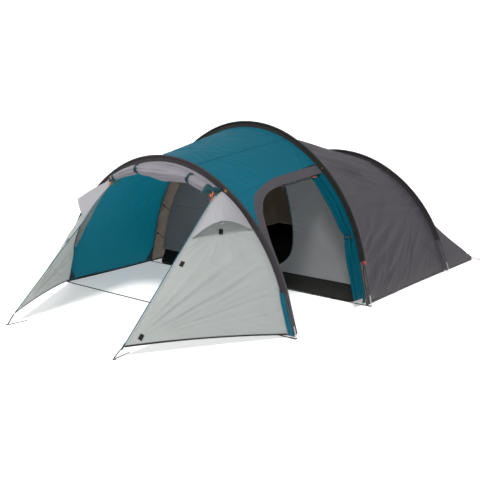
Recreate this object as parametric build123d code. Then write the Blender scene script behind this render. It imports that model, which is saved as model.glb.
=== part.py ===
from build123d import *
import os
import math
import numpy as np
from math import sin, cos, pi, radians

# Three-hoop tunnel tent, millimetres, +Z up. The front doorway faces -Y, the
# side doorway is on +X, the bedroom is at +Y. The origin is on the ground at
# the centre of the footprint. Layout numbers below are in metres, measured
# from the front hoop's plane, and are turned into millimetres on output.

# ---------------------------------------------------------------- dimensions
Y_ORG = 1.1152            # m, footprint centre behind the front hoop
# hoop: plane y, apex height, top arc radius/angle, side arc radius/angle
HOOP = {1: (0.0, 1.2754, 1.1453, 0.4534, 1.4535, 0.8198),
        2: (1.1044, 1.5000, 1.0807, 0.4405, 1.4229, 0.9077),
        3: (2.6564, 1.1331, 1.2426, 0.4729, 1.3813, 0.7264)}
POLE_INSET = 0.0085       # pole centre inside the sleeve's outer edge
WEB_INSET = 0.052         # sleeve web's inner edge
FLY_INSET = 0.055         # fly fabric line inside the hoop's outer edge
POLE_OD, POLE_ID = 8.5, 5.6
FERRULE_OD, FERRULE_ID, FERRULE_L = 10.4, 8.75, 80.0
CORD_D = 3.0              # shock cord inside the poles
SLEEVE_R, SLEEVE_BORE, WEB_T = 8.0, 6.0, 2.4
SLEEVE_END_Z = {1: 0.350, 2: 0.380, 3: 0.325}
POLE_END_Z = 0.095        # lower end of the pole tube above the ground
SECTIONS = {1: 6, 2: 7, 3: 6}
FAB = 2.5                 # fabric panel thickness as a solid
TIP = (0.617, -1.070, 0.075)      # front wing tip
ZIP_TOP = (0.570, -0.045, 1.012)  # top of the front zip
CORNER = (1.271, 3.316, 0.030)    # rear ground corner of the fly
INNER_INSET = 0.150       # inner tent inside the hoop's outer edge
TUB_H = 0.140             # bathtub floor wall height
EYELET_R = 5.0

os.makedirs("parts", exist_ok=True)
DONE = []


def mm(p):
    return Vector(p[0] * 1000.0, (p[1] - Y_ORG) * 1000.0, p[2] * 1000.0)


def put(name, *solids):
    flat = []
    for s in solids:
        flat += list(s) if isinstance(s, (list, tuple, ShapeList)) else [s]
    out = []
    for s in flat:
        out += list(s.solids())
    for s in out:
        if not s.is_valid or s.volume <= 0:
            print("BAD", name, s.is_valid, s.volume)
    shape = out[0] if len(out) == 1 else Compound(children=out)
    export_step(shape, f"parts/{name}.step")
    DONE.append((name, len(out), round(sum(s.volume for s in out))))


# ------------------------------------------------------------- hoop sections
def arcs(k, ins):
    y, h, rt, tt, rs, ts = HOOP[k]
    c1 = np.array([0.0, h - rt])
    c2 = c1 + (rt - rs) * np.array([sin(tt), cos(tt)])
    a = tt + ts
    e = c2 + (rs - ins) * np.array([sin(a), cos(a)])
    return c1, c2, rt - ins, rs - ins, tt, ts, e, np.array([cos(a), -sin(a)])


def half_len(k, ins, z0=0.0):
    c1, c2, r1, r2, tt, ts, e, dr = arcs(k, ins)
    return r1 * tt, r2 * ts, (e[1] - z0) / (-dr[1])


def at_s(k, ins, s):
    """Point of a hoop curve at signed distance s from its apex -> x, z."""
    c1, c2, r1, r2, tt, ts, e, dr = arcs(k, ins)
    l1, l2, l3 = half_len(k, ins)
    q, sg = abs(s), (1 if s >= 0 else -1)
    if q <= l1:
        p = c1 + r1 * np.array([sin(q / r1), cos(q / r1)])
    elif q <= l1 + l2:
        a = tt + (q - l1) / r2
        p = c2 + r2 * np.array([sin(a), cos(a)])
    else:
        p = e + dr * (q - l1 - l2)
    return np.array([sg * p[0], p[1]])


def sec(k, ins, t):
    """t 0..1 runs from the left ground end over the apex to the right one."""
    return at_s(k, ins, (2 * t - 1) * sum(half_len(k, ins)))


def t_at_z(k, ins, z):
    lo, hi = 0.5, 1.0
    for _ in range(60):
        m = (lo + hi) / 2
        if sec(k, ins, m)[1] > z:
            lo = m
        else:
            hi = m
    return lo


def s_at_z(k, ins, z):
    return (2 * t_at_z(k, ins, z) - 1) * sum(half_len(k, ins))


def hoop_wire(k, ins, sa, sb):
    """Tangent arcs and lines of the hoop curve between two distances."""
    l1, l2, l3 = half_len(k, ins)
    cuts = [sa] + [c for c in (-l1 - l2, -l1, l1, l1 + l2) if sa + 1e-6 < c < sb - 1e-6] + [sb]
    y = HOOP[k][0]
    edges = []
    for a, b in zip(cuts[:-1], cuts[1:]):
        pa, pb, pm = at_s(k, ins, a), at_s(k, ins, b), at_s(k, ins, (a + b) / 2)
        A, B, M = (mm((p[0], y, p[1])) for p in (pa, pb, pm))
        if abs((a + b) / 2) > l1 + l2:
            edges.append(Edge.make_line(A, B))
        else:
            edges.append(Edge.make_three_point_arc(A, M, B))
    return Wire(edges)


def start_plane(w):
    """Section plane at a hoop wire's start: local x points to the inside."""
    o, t = w.position_at(0), w.tangent_at(0)
    x = Vector(0, 1, 0).cross(t)
    return Plane(origin=o, x_dir=x, z_dir=t)


# ------------------------------------------------------ faceted fabric sheets
def poly_solid(V, T):
    faces = []
    for tri in T:
        faces.append(Face(Wire.make_polygon([V[i] for i in tri], close=True)))
    s = Solid(Shell(faces))
    if s.volume < 0:
        s = Solid(Shell([-f for f in faces]))
    return s


def split(q, V):
    if len(q) == 3:
        return [tuple(q)]
    a, b, c, d = q
    if (V[a] - V[c]).length <= (V[b] - V[d]).length:
        return [(a, b, c), (a, c, d)]
    return [(a, b, d), (b, c, d)]


def sheet(P, Q, th=FAB):
    """Closed solid of fabric: P outer points in metres, Q faces seen from
    outside anticlockwise, th the thickness laid on the inner side."""
    V = [mm(p) for p in P]
    tris = [t for q in Q for t in split(q, V)]
    N = [Vector(0, 0, 0)] * len(V)
    for a, b, c in tris:
        n = (V[b] - V[a]).cross(V[c] - V[a])
        for i in (a, b, c):
            N[i] = N[i] + n
    used = sorted({i for t in tris for i in t})
    new = {i: k for k, i in enumerate(used)}
    top = [V[i] for i in used]
    bot = [V[i] - N[i].normalized() * th for i in used]
    n = len(used)
    W = top + bot
    T = []
    edge = {}
    for t in tris:
        a, b, c = (new[i] for i in t)
        T.append((a, b, c))
        T.append((c + n, b + n, a + n))
        for e in ((a, b), (b, c), (c, a)):
            edge[e] = 1
    for (a, b) in edge:
        if (b, a) not in edge:
            T += [(b, a, a + n), (b, a + n, b + n)]
    return poly_solid(W, T)


def grid(rows, close=False):
    """Rows of equal length, each a list of points -> points and quads."""
    m = len(rows[0])
    P = [p for r in rows for p in r]
    Q = []
    for i in range(len(rows) - 1):
        for j in range(m - 1):
            Q.append((i * m + j, i * m + j + 1, (i + 1) * m + j + 1, (i + 1) * m + j))
    return P, Q


def loft(sections):
    """Closed faceted solid through equal rings of points in metres."""
    m = len(sections[0])
    V = [mm(p) for s in sections for p in s]
    T = []
    for i in range(len(sections) - 1):
        for j in range(m):
            a, b = i * m + j, i * m + (j + 1) % m
            T += [(a, b, b + m), (a, b + m, a + m)]
    for j in range(1, m - 1):
        T.append((0, j + 1, j))
        k = (len(sections) - 1) * m
        T.append((k, k + j, k + j + 1))
    return poly_solid(V, T)


def ribbon(pts, nrm, width, th, closed_wide=None):
    """Band along pts; nrm the face normal at each point, width across."""
    pts = [np.array(p, float) for p in pts]
    out = []
    for i, p in enumerate(pts):
        a = pts[max(i - 1, 0)]
        b = pts[min(i + 1, len(pts) - 1)]
        t = (b - a) / np.linalg.norm(b - a)
        n = np.array(nrm[i] if isinstance(nrm[0], (list, tuple, np.ndarray)) else nrm, float)
        n = n - t * n.dot(t)
        n /= np.linalg.norm(n)
        s = np.cross(t, n)
        w, h = width / 2, th / 2
        out.append([p + s * w + n * h, p - s * w + n * h, p - s * w - n * h, p + s * w - n * h])
    return loft(out)


def rod(a, b, r):
    A, B = mm(a), mm(b)
    return Solid.make_cylinder(r, (B - A).length, Plane(origin=A, z_dir=(B - A)))


# --------------------------------------------------------- fabric definitions
def vest(w, t, ins=FLY_INSET, sag=0.010):
    a, b = sec(1, ins, t), sec(2, ins, t)
    p = a * (1 - w) + b * w
    g = 4 * w * (1 - w)
    return np.array([p[0] * (1 - sag * g), HOOP[2][0] * w, p[1] * (1 - 0.2 * sag * g)])


def rear(w, t, ins=FLY_INSET, sag=0.008):
    a, b = sec(2, ins, t), sec(3, ins, t)
    p = a * (1 - w) + b * w
    g = 4 * w * (1 - w)
    return np.array([p[0] * (1 - sag * g), HOOP[2][0] + (HOOP[3][0] - HOOP[2][0]) * w,
                     p[1] * (1 - 0.3 * sag * g)])


def tail_ground(t, x, y, z, foot, t1=0.85):
    """Rear panel's ground line: up the side to the corner, then across."""
    sg = 1 if t >= 0.5 else -1
    q = abs(2 * t - 1)
    q1 = 2 * t1 - 1
    if q > q1:
        u = (q - q1) / (1 - q1)
        f = np.array([foot[0], foot[1], foot[2]])
        c = np.array([x, y, z])
        p = c * (1 - u) + f * u
    else:
        p = np.array([x * q / q1, y - 0.02 * (1 - (q / q1) ** 2), z])
    return np.array([sg * p[0], p[1], p[2]])


TS = [0.004, 0.05, 0.10, 0.15, 0.20, 0.25, 0.30, 0.35, 0.40, 0.45, 0.50,
      0.55, 0.60, 0.65, 0.70, 0.75, 0.80, 0.85, 0.90, 0.95, 0.996]

# side doorway outline in the vestibule fly's own (w, t)
RIM_OUT = [(0.988, 0.6900), (0.69, 0.6880), (0.50, 0.6880), (0.36, 0.6940), (0.227, 0.7060),
           (0.144, 0.7320), (0.10, 0.7540), (0.068, 0.7750), (0.040, 0.8100), (0.018, 0.8600), (0.018, 0.9960)]
RIM_IN = [(0.988, 0.7140), (0.72, 0.7090), (0.52, 0.7060), (0.42, 0.7070), (0.31, 0.7150),
          (0.224, 0.7310), (0.164, 0.7540), (0.119, 0.7830), (0.088, 0.8150), (0.076, 0.8550), (0.076, 0.9960)]

# ----------------------------------------------------------------- 1. poles
cords, ferrules = [], []
for k, nm in ((1, "front"), (2, "middle"), (3, "rear")):
    smax = s_at_z(k, POLE_INSET, POLE_END_Z)
    n = SECTIONS[k]
    L = 2 * smax / n
    tubes = []
    for i in range(n):
        w = hoop_wire(k, POLE_INSET, -smax + i * L + 0.0003, -smax + (i + 1) * L - 0.0003)
        pl = start_plane(w)
        ring = (pl * Circle(POLE_OD / 2) - pl * Circle(POLE_ID / 2)).face()
        tubes.append(Solid.sweep(ring, w))
        if i:
            c = -smax + i * L
            wf = hoop_wire(k, POLE_INSET, c - FERRULE_L / 2000, c + FERRULE_L / 2000)
            pf = start_plane(wf)
            rf = (pf * Circle(FERRULE_OD / 2) - pf * Circle(FERRULE_ID / 2)).face()
            ferrules.append(Solid.sweep(rf, wf))
    put(f"{nm}_pole_sections", tubes)
    wc = hoop_wire(k, POLE_INSET, -smax + 0.075, smax - 0.075)
    cords.append(Solid.sweep((start_plane(wc) * Circle(CORD_D / 2)).face(), wc))
    print(nm, "pole length m", round(2 * smax, 3), "section m", round(L, 3))
put("pole_ferrules", ferrules)
put("pole_shock_cords", cords)

# --------------------------------------------------------------- 2. sleeves
EYELETS = {}
grommets = []
for k, nm, ex in ((1, "front", 0.645), (2, "middle", 0.800), (3, "rear", 0.590)):
    se = s_at_z(k, POLE_INSET, SLEEVE_END_Z[k])
    w = hoop_wire(k, POLE_INSET, -se, se)
    pl = start_plane(w)
    web = WEB_INSET - POLE_INSET
    prof = pl * Circle(SLEEVE_R) + pl * Pos(web * 500 + 2.5, 0) * Rectangle(web * 1000 - 5, WEB_T)
    prof = (prof - pl * Circle(SLEEVE_BORE)).face()
    body = Solid.sweep(prof, w)
    # guy-point eyelets half way down the web
    lo, hi = 0.5, 0.95
    for _ in range(50):
        m = (lo + hi) / 2
        if sec(k, 0.030, m)[0] < ex:
            lo = m
        else:
            hi = m
    x, z = sec(k, 0.030, lo)
    y = HOOP[k][0]
    for sg in (1, -1):
        c = mm((sg * x, y, z))
        pc = Plane(origin=c - Vector(0, 10, 0), x_dir=(1, 0, 0), z_dir=(0, 1, 0))
        body = body - Solid.make_cylinder(6.4, 20, pc)
        p2 = Plane(origin=c - Vector(0, 2.2, 0), x_dir=(1, 0, 0), z_dir=(0, 1, 0))
        g = Solid.make_cylinder(6.2, 4.4, p2)
        for d in (-2.2, 1.35):
            pf = Plane(origin=c + Vector(0, d, 0), x_dir=(1, 0, 0), z_dir=(0, 1, 0))
            g = g + Solid.make_cylinder(9.5, 0.85, pf)
        g = g - Solid.make_cylinder(EYELET_R, 20, pc)
        grommets.append(g)
        EYELETS[f"{nm}_{'right' if sg > 0 else 'left'}"] = [round(v / 1000, 5) for v in (c.X, c.Y, c.Z)]
    put(f"{nm}_pole_sleeve", body)
put("guy_eyelets", grommets)
print("eyelets", EYELETS)

# ---------------------------------------------- 3. feet: pins, rings, straps
for k, nm in ((1, "front"), (2, "middle"), (3, "rear")):
    y = HOOP[k][0]
    pins = []
    se = s_at_z(k, POLE_INSET, POLE_END_Z - 0.0008)
    for sg in (1, -1):
        a = at_s(k, POLE_INSET, sg * se)
        b = at_s(k, POLE_INSET, sg * (se + 0.068))
        t = at_s(k, POLE_INSET, sg * (se - 0.065))
        A, B, T = (a[0], y, a[1]), (b[0], y, b[1]), (t[0], y, t[1])
        shank = rod(T, A, 2.6)
        collar = rod(A, B, 4.2)
        zb = b[1]
        # closed wire ring, standing across the leg, that carries strap and peg
        xb = b[0]
        zr = 0.0037 if k < 3 else 0.0020
        pts = [(xb, y - 0.007, zb - 0.001), (xb, y - 0.0150, zr),
               (xb, y + 0.0150, zr), (xb, y + 0.007, zb - 0.001)]
        path = FilletPolyline(*[mm(p) for p in pts], radius=3.2, close=True).wire()
        st = path.position_at(0.0)
        secf = (Plane(origin=st, z_dir=path.tangent_at(0.0)) * Circle(2.0)).face()
        ring = Solid.sweep(secf, path)
        pins.append(shank + collar + ring)
    put(f"{nm}_foot_pins", pins)
    xb = abs(xb)
    if k < 3:
        th = 0.0012
        r = 0.0031
        zc = 0.0037
        arc = [(xb + r * cos(a), zc + r * sin(a)) for a in [radians(d) for d in (-90, -55, -20, 20, 55, 90)]]
        half = [(xb - 0.020, zc - r)] + arc + [(xb - 0.012, zc - r + 0.0035), (xb - 0.060, zc - r + 0.0026)]
        right = [(x, y, z) for x, z in half]
        pts = [(-x, yy, z) for x, yy, z in reversed(right)] + right
        # surface normals follow the turn of the loop
        nr = []
        for i in range(len(pts)):
            a = np.array(pts[max(i - 1, 0)])
            b = np.array(pts[min(i + 1, len(pts) - 1)])
            d = (b - a) / np.linalg.norm(b - a)
            nr.append(np.cross(d, [0, 1, 0]))
        put(f"{nm}_base_strap", ribbon(pts, nr, 0.020, th))
# ladder-lock buckles lying on the two straps
bk = []
for k, xc in ((1, 0.95), (2, 0.95)):
    c = mm((xc, HOOP[k][0], 0.0))
    b = Pos(c.X, c.Y, 4.9) * Box(30, 30, 5.0)
    for d in (-7.5, 7.5):
        b = b - Pos(c.X + d, c.Y, 4.9) * Box(6.0, 23, 12)
    bk.append(b)
put("base_strap_buckles", bk)

# ------------------------------------------------------------- 4. fly panels
rows = []
for t in TS:
    if t > 0.66:
        break
    rows.append([vest(w, t) for w in (0.003, 0.25, 0.5, 0.75, 0.997)])
rows.append([vest(w, 0.6865) for w in (0.003, 0.25, 0.5, 0.75, 0.988)])
P, Q = grid(rows)
# narrow strip that carries on down the front hoop beside the side doorway
prev = [len(P) - 5, len(P) - 4, len(P) - 3]
for (w1, t1) in RIM_OUT[3:10]:
    cur = [len(P), len(P) + 1, len(P) + 2]
    P += [vest(0.003 + (w1 - 0.003) * f - 0.0035 * f, t1) for f in (0, 0.5, 1)]
    Q += [(prev[j], prev[j + 1], cur[j + 1], cur[j]) for j in (0, 1)]
    prev = cur
put("vestibule_fly", sheet(P, [tuple(reversed(q)) for q in Q]))

rows = [[vest(a[0] * (1 - f) + b[0] * f, a[1] * (1 - f) + b[1] * f) for f in (0.03, 0.5, 1.0)]
        for a, b in zip(RIM_OUT, RIM_IN)]
P, Q = grid(rows)
put("side_door_rim", sheet(P, Q, 3.0))

rows = [[rear(w, t) for w in (0.003, 0.25, 0.5, 0.75, 0.997)] for t in TS]
P, Q = grid(rows)
put("rear_fly", sheet(P, [tuple(reversed(q)) for q in Q]))

foot3 = [abs(sec(3, FLY_INSET, 0.996)[0]), HOOP[3][0] + 0.004, sec(3, FLY_INSET, 0.996)[1]]
rows = []
for t in TS:
    p = sec(3, FLY_INSET, t)
    h = np.array([p[0], HOOP[3][0] + 0.004, p[1]])
    g = tail_ground(t, CORNER[0], CORNER[1], CORNER[2], [foot3[0], foot3[1] + 0.02, CORNER[2] * 0.4])
    row = []
    for f in (0, 0.34, 0.67, 1.0):
        q = h * (1 - f) + g * f
        q = q * np.array([1, 1, 1])
        row.append(q)
    rows.append(row)
P, Q = grid(rows)
put("rear_end_panel", sheet(P, [tuple(reversed(q)) for q in Q]))

# teal gussets below the front sleeve's ends, between wing and pole
gs = []
for sg in (1, -1):
    r_ = []
    for z in (0.335, 0.25, 0.16, 0.08, 0.022):
        a = sec(1, 0.022, t_at_z(1, 0.022, z))
        b = sec(1, FLY_INSET - 0.001, t_at_z(1, FLY_INSET - 0.001, z))
        r_.append([(sg * a[0], -0.0012, a[1]), (sg * b[0], -0.0012, b[1])])
    P, Q = grid(r_)
    gs.append(sheet(P, Q if sg < 0 else [tuple(reversed(q)) for q in Q], 2.0))
put("front_leg_gussets", gs)

# ------------------------------------------------------- 5. front wings, vents
top, tip = np.array(ZIP_TOP), np.array(TIP)
zu = (tip - top) / np.linalg.norm(tip - top)
foot1 = sec(1, FLY_INSET, t_at_z(1, FLY_INSET, 0.030))
wn = np.cross(tip - top, np.array([foot1[0], 0, foot1[1]]) - top)
wn /= np.linalg.norm(wn)
zb_ = np.cross(zu, wn)            # across the zip, in the wing's plane
if zb_[0] < 0:
    zb_ = -zb_
ZL = np.linalg.norm(tip - top)
T0, T1 = t_at_z(1, FLY_INSET, 1.035), t_at_z(1, FLY_INSET, 0.030)
RS = [0.0, 0.10, 0.20, 0.32, 0.45, 0.58, 0.72, 0.86, 1.0]
CS = [0.0, 0.2, 0.4, 0.6, 0.8, 1.0]


def hoop_of(s):
    """Hoop end of the ruling that leaves the zip at fraction s."""
    t = T0 + (T1 - T0) * s
    p = sec(1, FLY_INSET, t)
    return np.array([p[0], -0.004, p[1]])


def wing(s, c, off=0.0, edge=0.017):
    a = top + zu * ZL * (0.012 + 0.976 * s) + zb_ * edge
    b = hoop_of(s)
    p = a * (1 - c) + b * c
    bulge = 0.030 * 4 * c * (1 - c) * sin(pi * min(1, 0.15 + 0.85 * s)) * 0.8
    lift = 0.020 * 4 * c * (1 - c) * max(0.0, (s - 0.86) / 0.14)
    return p + wn * (bulge + off) + np.array([0, 0, lift])


def mir(p, sg):
    return np.array([sg * p[0], p[1], p[2]])


# hood's free edge: arch from the zip edge over the prop to the hoop
H_ZIP, H_APEX, H_HOOP = np.array([0.604, -0.345, 0.716]), np.array([0.807, -0.231, 0.862]), np.array([0.912, -0.006, 0.765])


def hood_edge(c):
    m = (H_ZIP + H_HOOP) / 2
    return H_ZIP * (1 - c) + H_HOOP * c + (H_APEX - m) * sin(pi * c) ** 0.9


HOOD_COLS = []
for c in CS:
    e = hood_edge(c)
    se = min([0.15 + 0.002 * i for i in range(150)], key=lambda q: np.linalg.norm(wing(q, c) - e))
    D = e - wing(se, c)
    D = D - wn * 0.007
    D = D - wn * min(0.0, D.dot(wn))        # never below the wing's face
    HOOD_COLS.append((c, se, D))
print("hood", [(c, round(se, 3), np.round(D, 3).tolist()) for c, se, D in HOOD_COLS])
for sg, side in ((1, "right"), (-1, "left")):
    rows = [[mir(wing(s, c), sg) for c in CS] for s in RS]
    P, Q = grid(rows)
    hole = {(1, 1), (1, 2), (1, 3)}
    m = len(CS) - 1
    Q1 = [q for i, q in enumerate(Q) if (i // m, i % m) not in hole]
    put(f"front_wing_{side}", sheet(P, [tuple(reversed(q)) for q in Q1] if sg > 0 else Q1))
    # mesh vent panel that fills the hole, a hair inside its edge
    rr = [[mir(wing(0.103 + 0.094 * i, 0.204 + 0.592 * j / 3), sg) for j in range(4)] for i in (0, 1)]
    P, Q = grid(rr)
    put(f"vent_mesh_{side}", sheet(P, [tuple(reversed(q)) for q in Q] if sg > 0 else Q, 1.5))
    # hood: lies on the wing at the top and lifts to its arched free edge
    hr = []
    for f in (0.0, 0.35, 0.7, 1.0):
        row = []
        for c, se, D in HOOD_COLS:
            p = wing(0.012 + (se - 0.012) * f, c, 0.007 + 0.010 * sin(pi * f)) + D * f ** 1.3
            row.append(mir(p, sg))
        hr.append(row)
    P, Q = grid(hr)
    put(f"vent_hood_{side}", sheet(P, [tuple(reversed(q)) for q in Q] if sg > 0 else Q, 2.0))

# ------------------------------------------------ 6. vent props and velcro
ax_h = (H_HOOP - H_ZIP) / np.linalg.norm(H_HOOP - H_ZIP)      # along the vent
PROP_FOOT = wing(0.245, 0.50, 0.0065)
PROP_HEAD = hood_edge(0.5) - wn * 0.016 - np.array([0, 0, 0.010])
for sg, side in ((1, "right"), (-1, "left")):
    a, b = PROP_FOOT, PROP_HEAD
    d = (b - a) / np.linalg.norm(b - a)
    n = np.cross(ax_h, d)
    put(f"vent_prop_{side}", ribbon([mir(a, sg), mir(a * .5 + b * .5, sg), mir(b, sg)], mir(n, sg), 0.026, 0.003))
    print("prop", side, [round(float(v), 5) for v in mm(mir(a, sg)) / 1000], "axis", np.round(mir(ax_h, sg), 5),
          "len", round(float(np.linalg.norm(b - a)), 4))
tabs = []
for sg in (1, -1):
    for s, c, off in ((0.302, 0.485, 0.0), (0.485, 0.078, 0.0), (0.955, 0.060, 0.0)):
        p = wing(s, c, 0.0012)
        u = wing(s + 0.02, c) - wing(s - 0.02, c)
        p1, p2 = p - u / np.linalg.norm(u) * 0.020, p + u / np.linalg.norm(u) * 0.020
        e = wing(s, c + 0.03) - wing(s, c - 0.03)
        nn = np.cross(u, e)
        nn = nn / np.linalg.norm(nn) * (1 if nn.dot(wn) > 0 else -1)
        tabs.append(ribbon([mir(p1 + nn * 0.0008, sg), mir(p2 + nn * 0.0008, sg)], mir(nn, sg), 0.026, 0.0018))
put("wing_velcro_tabs", tabs)

# --------------------------------------------------- 7. zips, sliders, pulls
def local(o, xd, zd):
    return Plane(origin=mm(o), x_dir=Vector(*xd), z_dir=Vector(*zd))


def slider_solid(pl, tape_side):
    """Slider body round the coil; local x along the zip, z off the cloth."""
    b = Box(15, 11, 6.4)
    b = b - Box(40, 6.2, 3.4)
    b = b - Pos(0, tape_side * 5, 0) * Box(40, 10, 1.8)
    bail = Pos(0, 0, 5.6) * Box(8, 4, 5.4)
    bail = bail - Pos(0, 0, 6.0) * Rot(90, 0, 0) * Cylinder(1.9, 10)
    return (pl * (b + bail)).solids()


def puller_solid(pl, sgn):
    """Cord loop through the bail, lying along +x*sgn of the slider frame."""
    pts = [(0, -0.1, 6.0), (0, 4.2, 6.0), (9 * sgn, 6.0, 6.2), (46 * sgn, 3.4, 6.6), (46 * sgn, -3.4, 6.6),
           (9 * sgn, -6.0, 6.2), (0, -4.2, 6.0)]
    path = FilletPolyline(*[Vector(*p) for p in pts[1:]], radius=2.2, close=True).wire()
    # straight run through the bail's hole
    st = path.position_at(0.0)
    s = Solid.sweep((Plane(origin=st, z_dir=path.tangent_at(0.0)) * Circle(1.15)).face(), path)
    return (pl * s).solids()


JOINTS = {}
for sg, side in ((1, "right"), (-1, "left")):
    t_, u_, n_, b_ = (mir(top, sg), mir(zu, sg), mir(wn, sg), mir(zb_, sg))
    a, b = t_ + u_ * 0.004, t_ + u_ * (ZL - 0.010)
    coil = ribbon([a, b], n_, 0.0050, 0.0024)
    tape = ribbon([a + b_ * 0.0092, b + b_ * 0.0092], n_, 0.0136, 0.0010)
    put(f"front_zip_{side}", (coil + tape))
    o = t_ + u_ * 0.020
    pl = local(o, u_, n_)
    tside = 1 if np.dot(np.cross(n_, u_), b_) > 0 else -1
    put(f"front_zip_slider_{side}", slider_solid(pl, tside))
    put(f"front_zip_puller_{side}", puller_solid(pl, 1))
    hp = o + n_ * 0.006
    JOINTS[f"front_zip_{side}"] = (u_, mm(hp) / 1000, np.cross(n_, u_))

# side door zip: coil along the straight top of the doorway, on its inner edge
za, zb2 = vest(0.93, 0.7129), vest(0.52, 0.7060)
su = (zb2 - za) / np.linalg.norm(zb2 - za)
sn = np.cross(vest(0.7, 0.72) - vest(0.7, 0.70), su)
sn = sn / np.linalg.norm(sn) * (1 if sn[0] > 0 else -1)
sn = sn - su * sn.dot(su)
sn /= np.linalg.norm(sn)
sd = np.cross(sn, su)
if sd[2] > 0:
    sd = -sd
off = sd * 0.0120 - sn * 0.0081
za, zb2 = za + off, zb2 + off
coil = ribbon([za, zb2], sn, 0.0050, 0.0024)
tape = ribbon([za - sd * 0.0080, zb2 - sd * 0.0080], sn, 0.0112, 0.0010)
put("side_door_zip", coil + tape)
o = za + su * 0.015
pl = local(o, su, sn)
tside = 1 if np.dot(np.cross(sn, su), -sd) > 0 else -1
put("side_door_zip_slider", slider_solid(pl, tside))
put("side_door_zip_puller", puller_solid(pl, 1))
JOINTS["side_door_zip"] = (su, mm(o + sn * 0.006) / 1000, np.cross(sn, su))
print("side zip length", round(float(np.linalg.norm(zb2 - za)), 4))

# ------------------------------------------------- 8. rolled doors and ties
def roll(centres, radii, tilt=0.0, n=12, flat=1.0, axis_hint=(0, 1, 0)):
    out = []
    C = [np.array(c, float) for c in centres]
    for i, c in enumerate(C):
        a, b = C[max(i - 1, 0)], C[min(i + 1, len(C) - 1)]
        t = (b - a) / np.linalg.norm(b - a)
        x = np.array(axis_hint, float)
        x = x - t * x.dot(t)
        x /= np.linalg.norm(x)
        z = np.cross(t, x)
        ra, rb = radii[i]
        out.append([c + x * ra * cos(2 * pi * j / n) + z * rb * sin(2 * pi * j / n) for j in range(n)])
    return loft(out)


FD_Y = -0.062
# station x, drop of the roll's centre below the fly line, radius
FD = [(-0.560, 0.022, 0.018), (-0.50, 0.030, 0.026), (-0.40, 0.037, 0.031), (-0.31, 0.043, 0.037), (-0.255, 0.046, 0.037),
      (-0.225, 0.046, 0.037), (-0.15, 0.062, 0.050), (-0.05, 0.069, 0.057), (0.07, 0.071, 0.060), (0.17, 0.065, 0.057),
      (0.26, 0.054, 0.048), (0.320, 0.048, 0.040), (0.350, 0.048, 0.040), (0.42, 0.046, 0.042), (0.50, 0.039, 0.033),
      (0.540, 0.034, 0.025)]


def fd_c(x):
    zl = 1.2754 - FLY_INSET - (1.09 - math.sqrt(1.09 ** 2 - x * x))
    return (x, FD_Y, zl - float(np.interp(x, [f[0] for f in FD], [f[1] for f in FD])))


put("rolled_front_door", roll([fd_c(f[0]) for f in FD], [(f[2], f[2]) for f in FD], n=14))
TIES = (-0.240, 0.335)
TIE_R = {-0.240: 0.0400, 0.335: 0.0430, -0.530: 0.0275, 0.510: 0.0365}


def strap_loop(c, t, xh, ra, rb, w, th, n=16):
    x = np.array(xh, float)
    x = x - t * x.dot(t)
    x /= np.linalg.norm(x)
    z = np.cross(t, x)
    V, T = [], []
    for j in range(n):
        a = 2 * pi * j / n
        for e in (0.0, th):
            for d in (-w / 2, w / 2):
                V.append(mm(c + x * (ra + e) * cos(a) + z * (rb + e) * sin(a) + t * d))
    for j in range(n):
        a, b = 4 * j, 4 * ((j + 1) % n)
        for p, q in ((0, 1), (1, 3), (3, 2), (2, 0)):
            T += [(a + p, b + p, b + q), (a + p, b + q, a + q)]
    return poly_solid(V, T)


ties = []
for x, rr in TIE_R.items():
    c, d = np.array(fd_c(x)), np.array(fd_c(x + 0.004)) - np.array(fd_c(x - 0.004))
    ties.append(strap_loop(c, d / np.linalg.norm(d), (0, 1, 0), rr, rr, 0.020, 0.0018))
put("front_door_ties", ties)
for x, side in ((TIES[0], "left"), (TIES[1], "right")):
    c = fd_c(x)
    pc = (x, c[1] - TIE_R[x] - 0.0018 - 0.0078, c[2])
    tg = Pos(*mm(pc)) * (Rot(0, 0, 0) * Cylinder(4.5, 34) - Rot(90, 0, 0) * Cylinder(2.1, 20))
    tg = tg.solid()
    put(f"front_door_toggle_{side}", tg)
    JOINTS[f"toggle_{side}"] = mm(pc) / 1000

# toggle cords: a short pin of cord through each toggle, sewn on the strap
pegs_ = []
for x in TIES:
    c = fd_c(x)
    ya = c[1] - TIE_R[x] - 0.0020
    pegs_.append(rod((x, ya, c[2]), (x, ya - 0.0162, c[2]), 1.6) + rod((x, ya - 0.0160, c[2]), (x, ya - 0.0190, c[2]), 3.0))

# side door tied back along the middle hoop: a flattened bundle, pinched once
SD = [(0.700, 0.060, 0.018), (0.735, 0.066, 0.022), (0.775, 0.072, 0.026), (0.815, 0.062, 0.026), (0.842, 0.046, 0.022),
      (0.856, 0.040, 0.020), (0.872, 0.052, 0.024), (0.905, 0.072, 0.028), (0.940, 0.074, 0.026), (0.985, 0.066, 0.018)]
cs, rs = [], []
for t, ha, hb in SD:
    wc = 0.935 + (0.028 if 0.84 < t < 0.865 else 0.0)
    p = vest(wc, t, FLY_INSET + 0.031 + 0.007 * min(1.0, max(0.0, (0.76 - t) / 0.06)))   # top end tucked behind the zip
    cs.append((p[0], p[1] - 0.006, max(p[2], 0.020)))
    rs.append((ha, hb))
put("rolled_side_door", roll(cs, rs, n=12))
i0 = 5
c5 = np.array(cs[i0])
tdir = np.array(cs[i0 + 1]) - np.array(cs[i0 - 1])
tdir /= np.linalg.norm(tdir)


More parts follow.
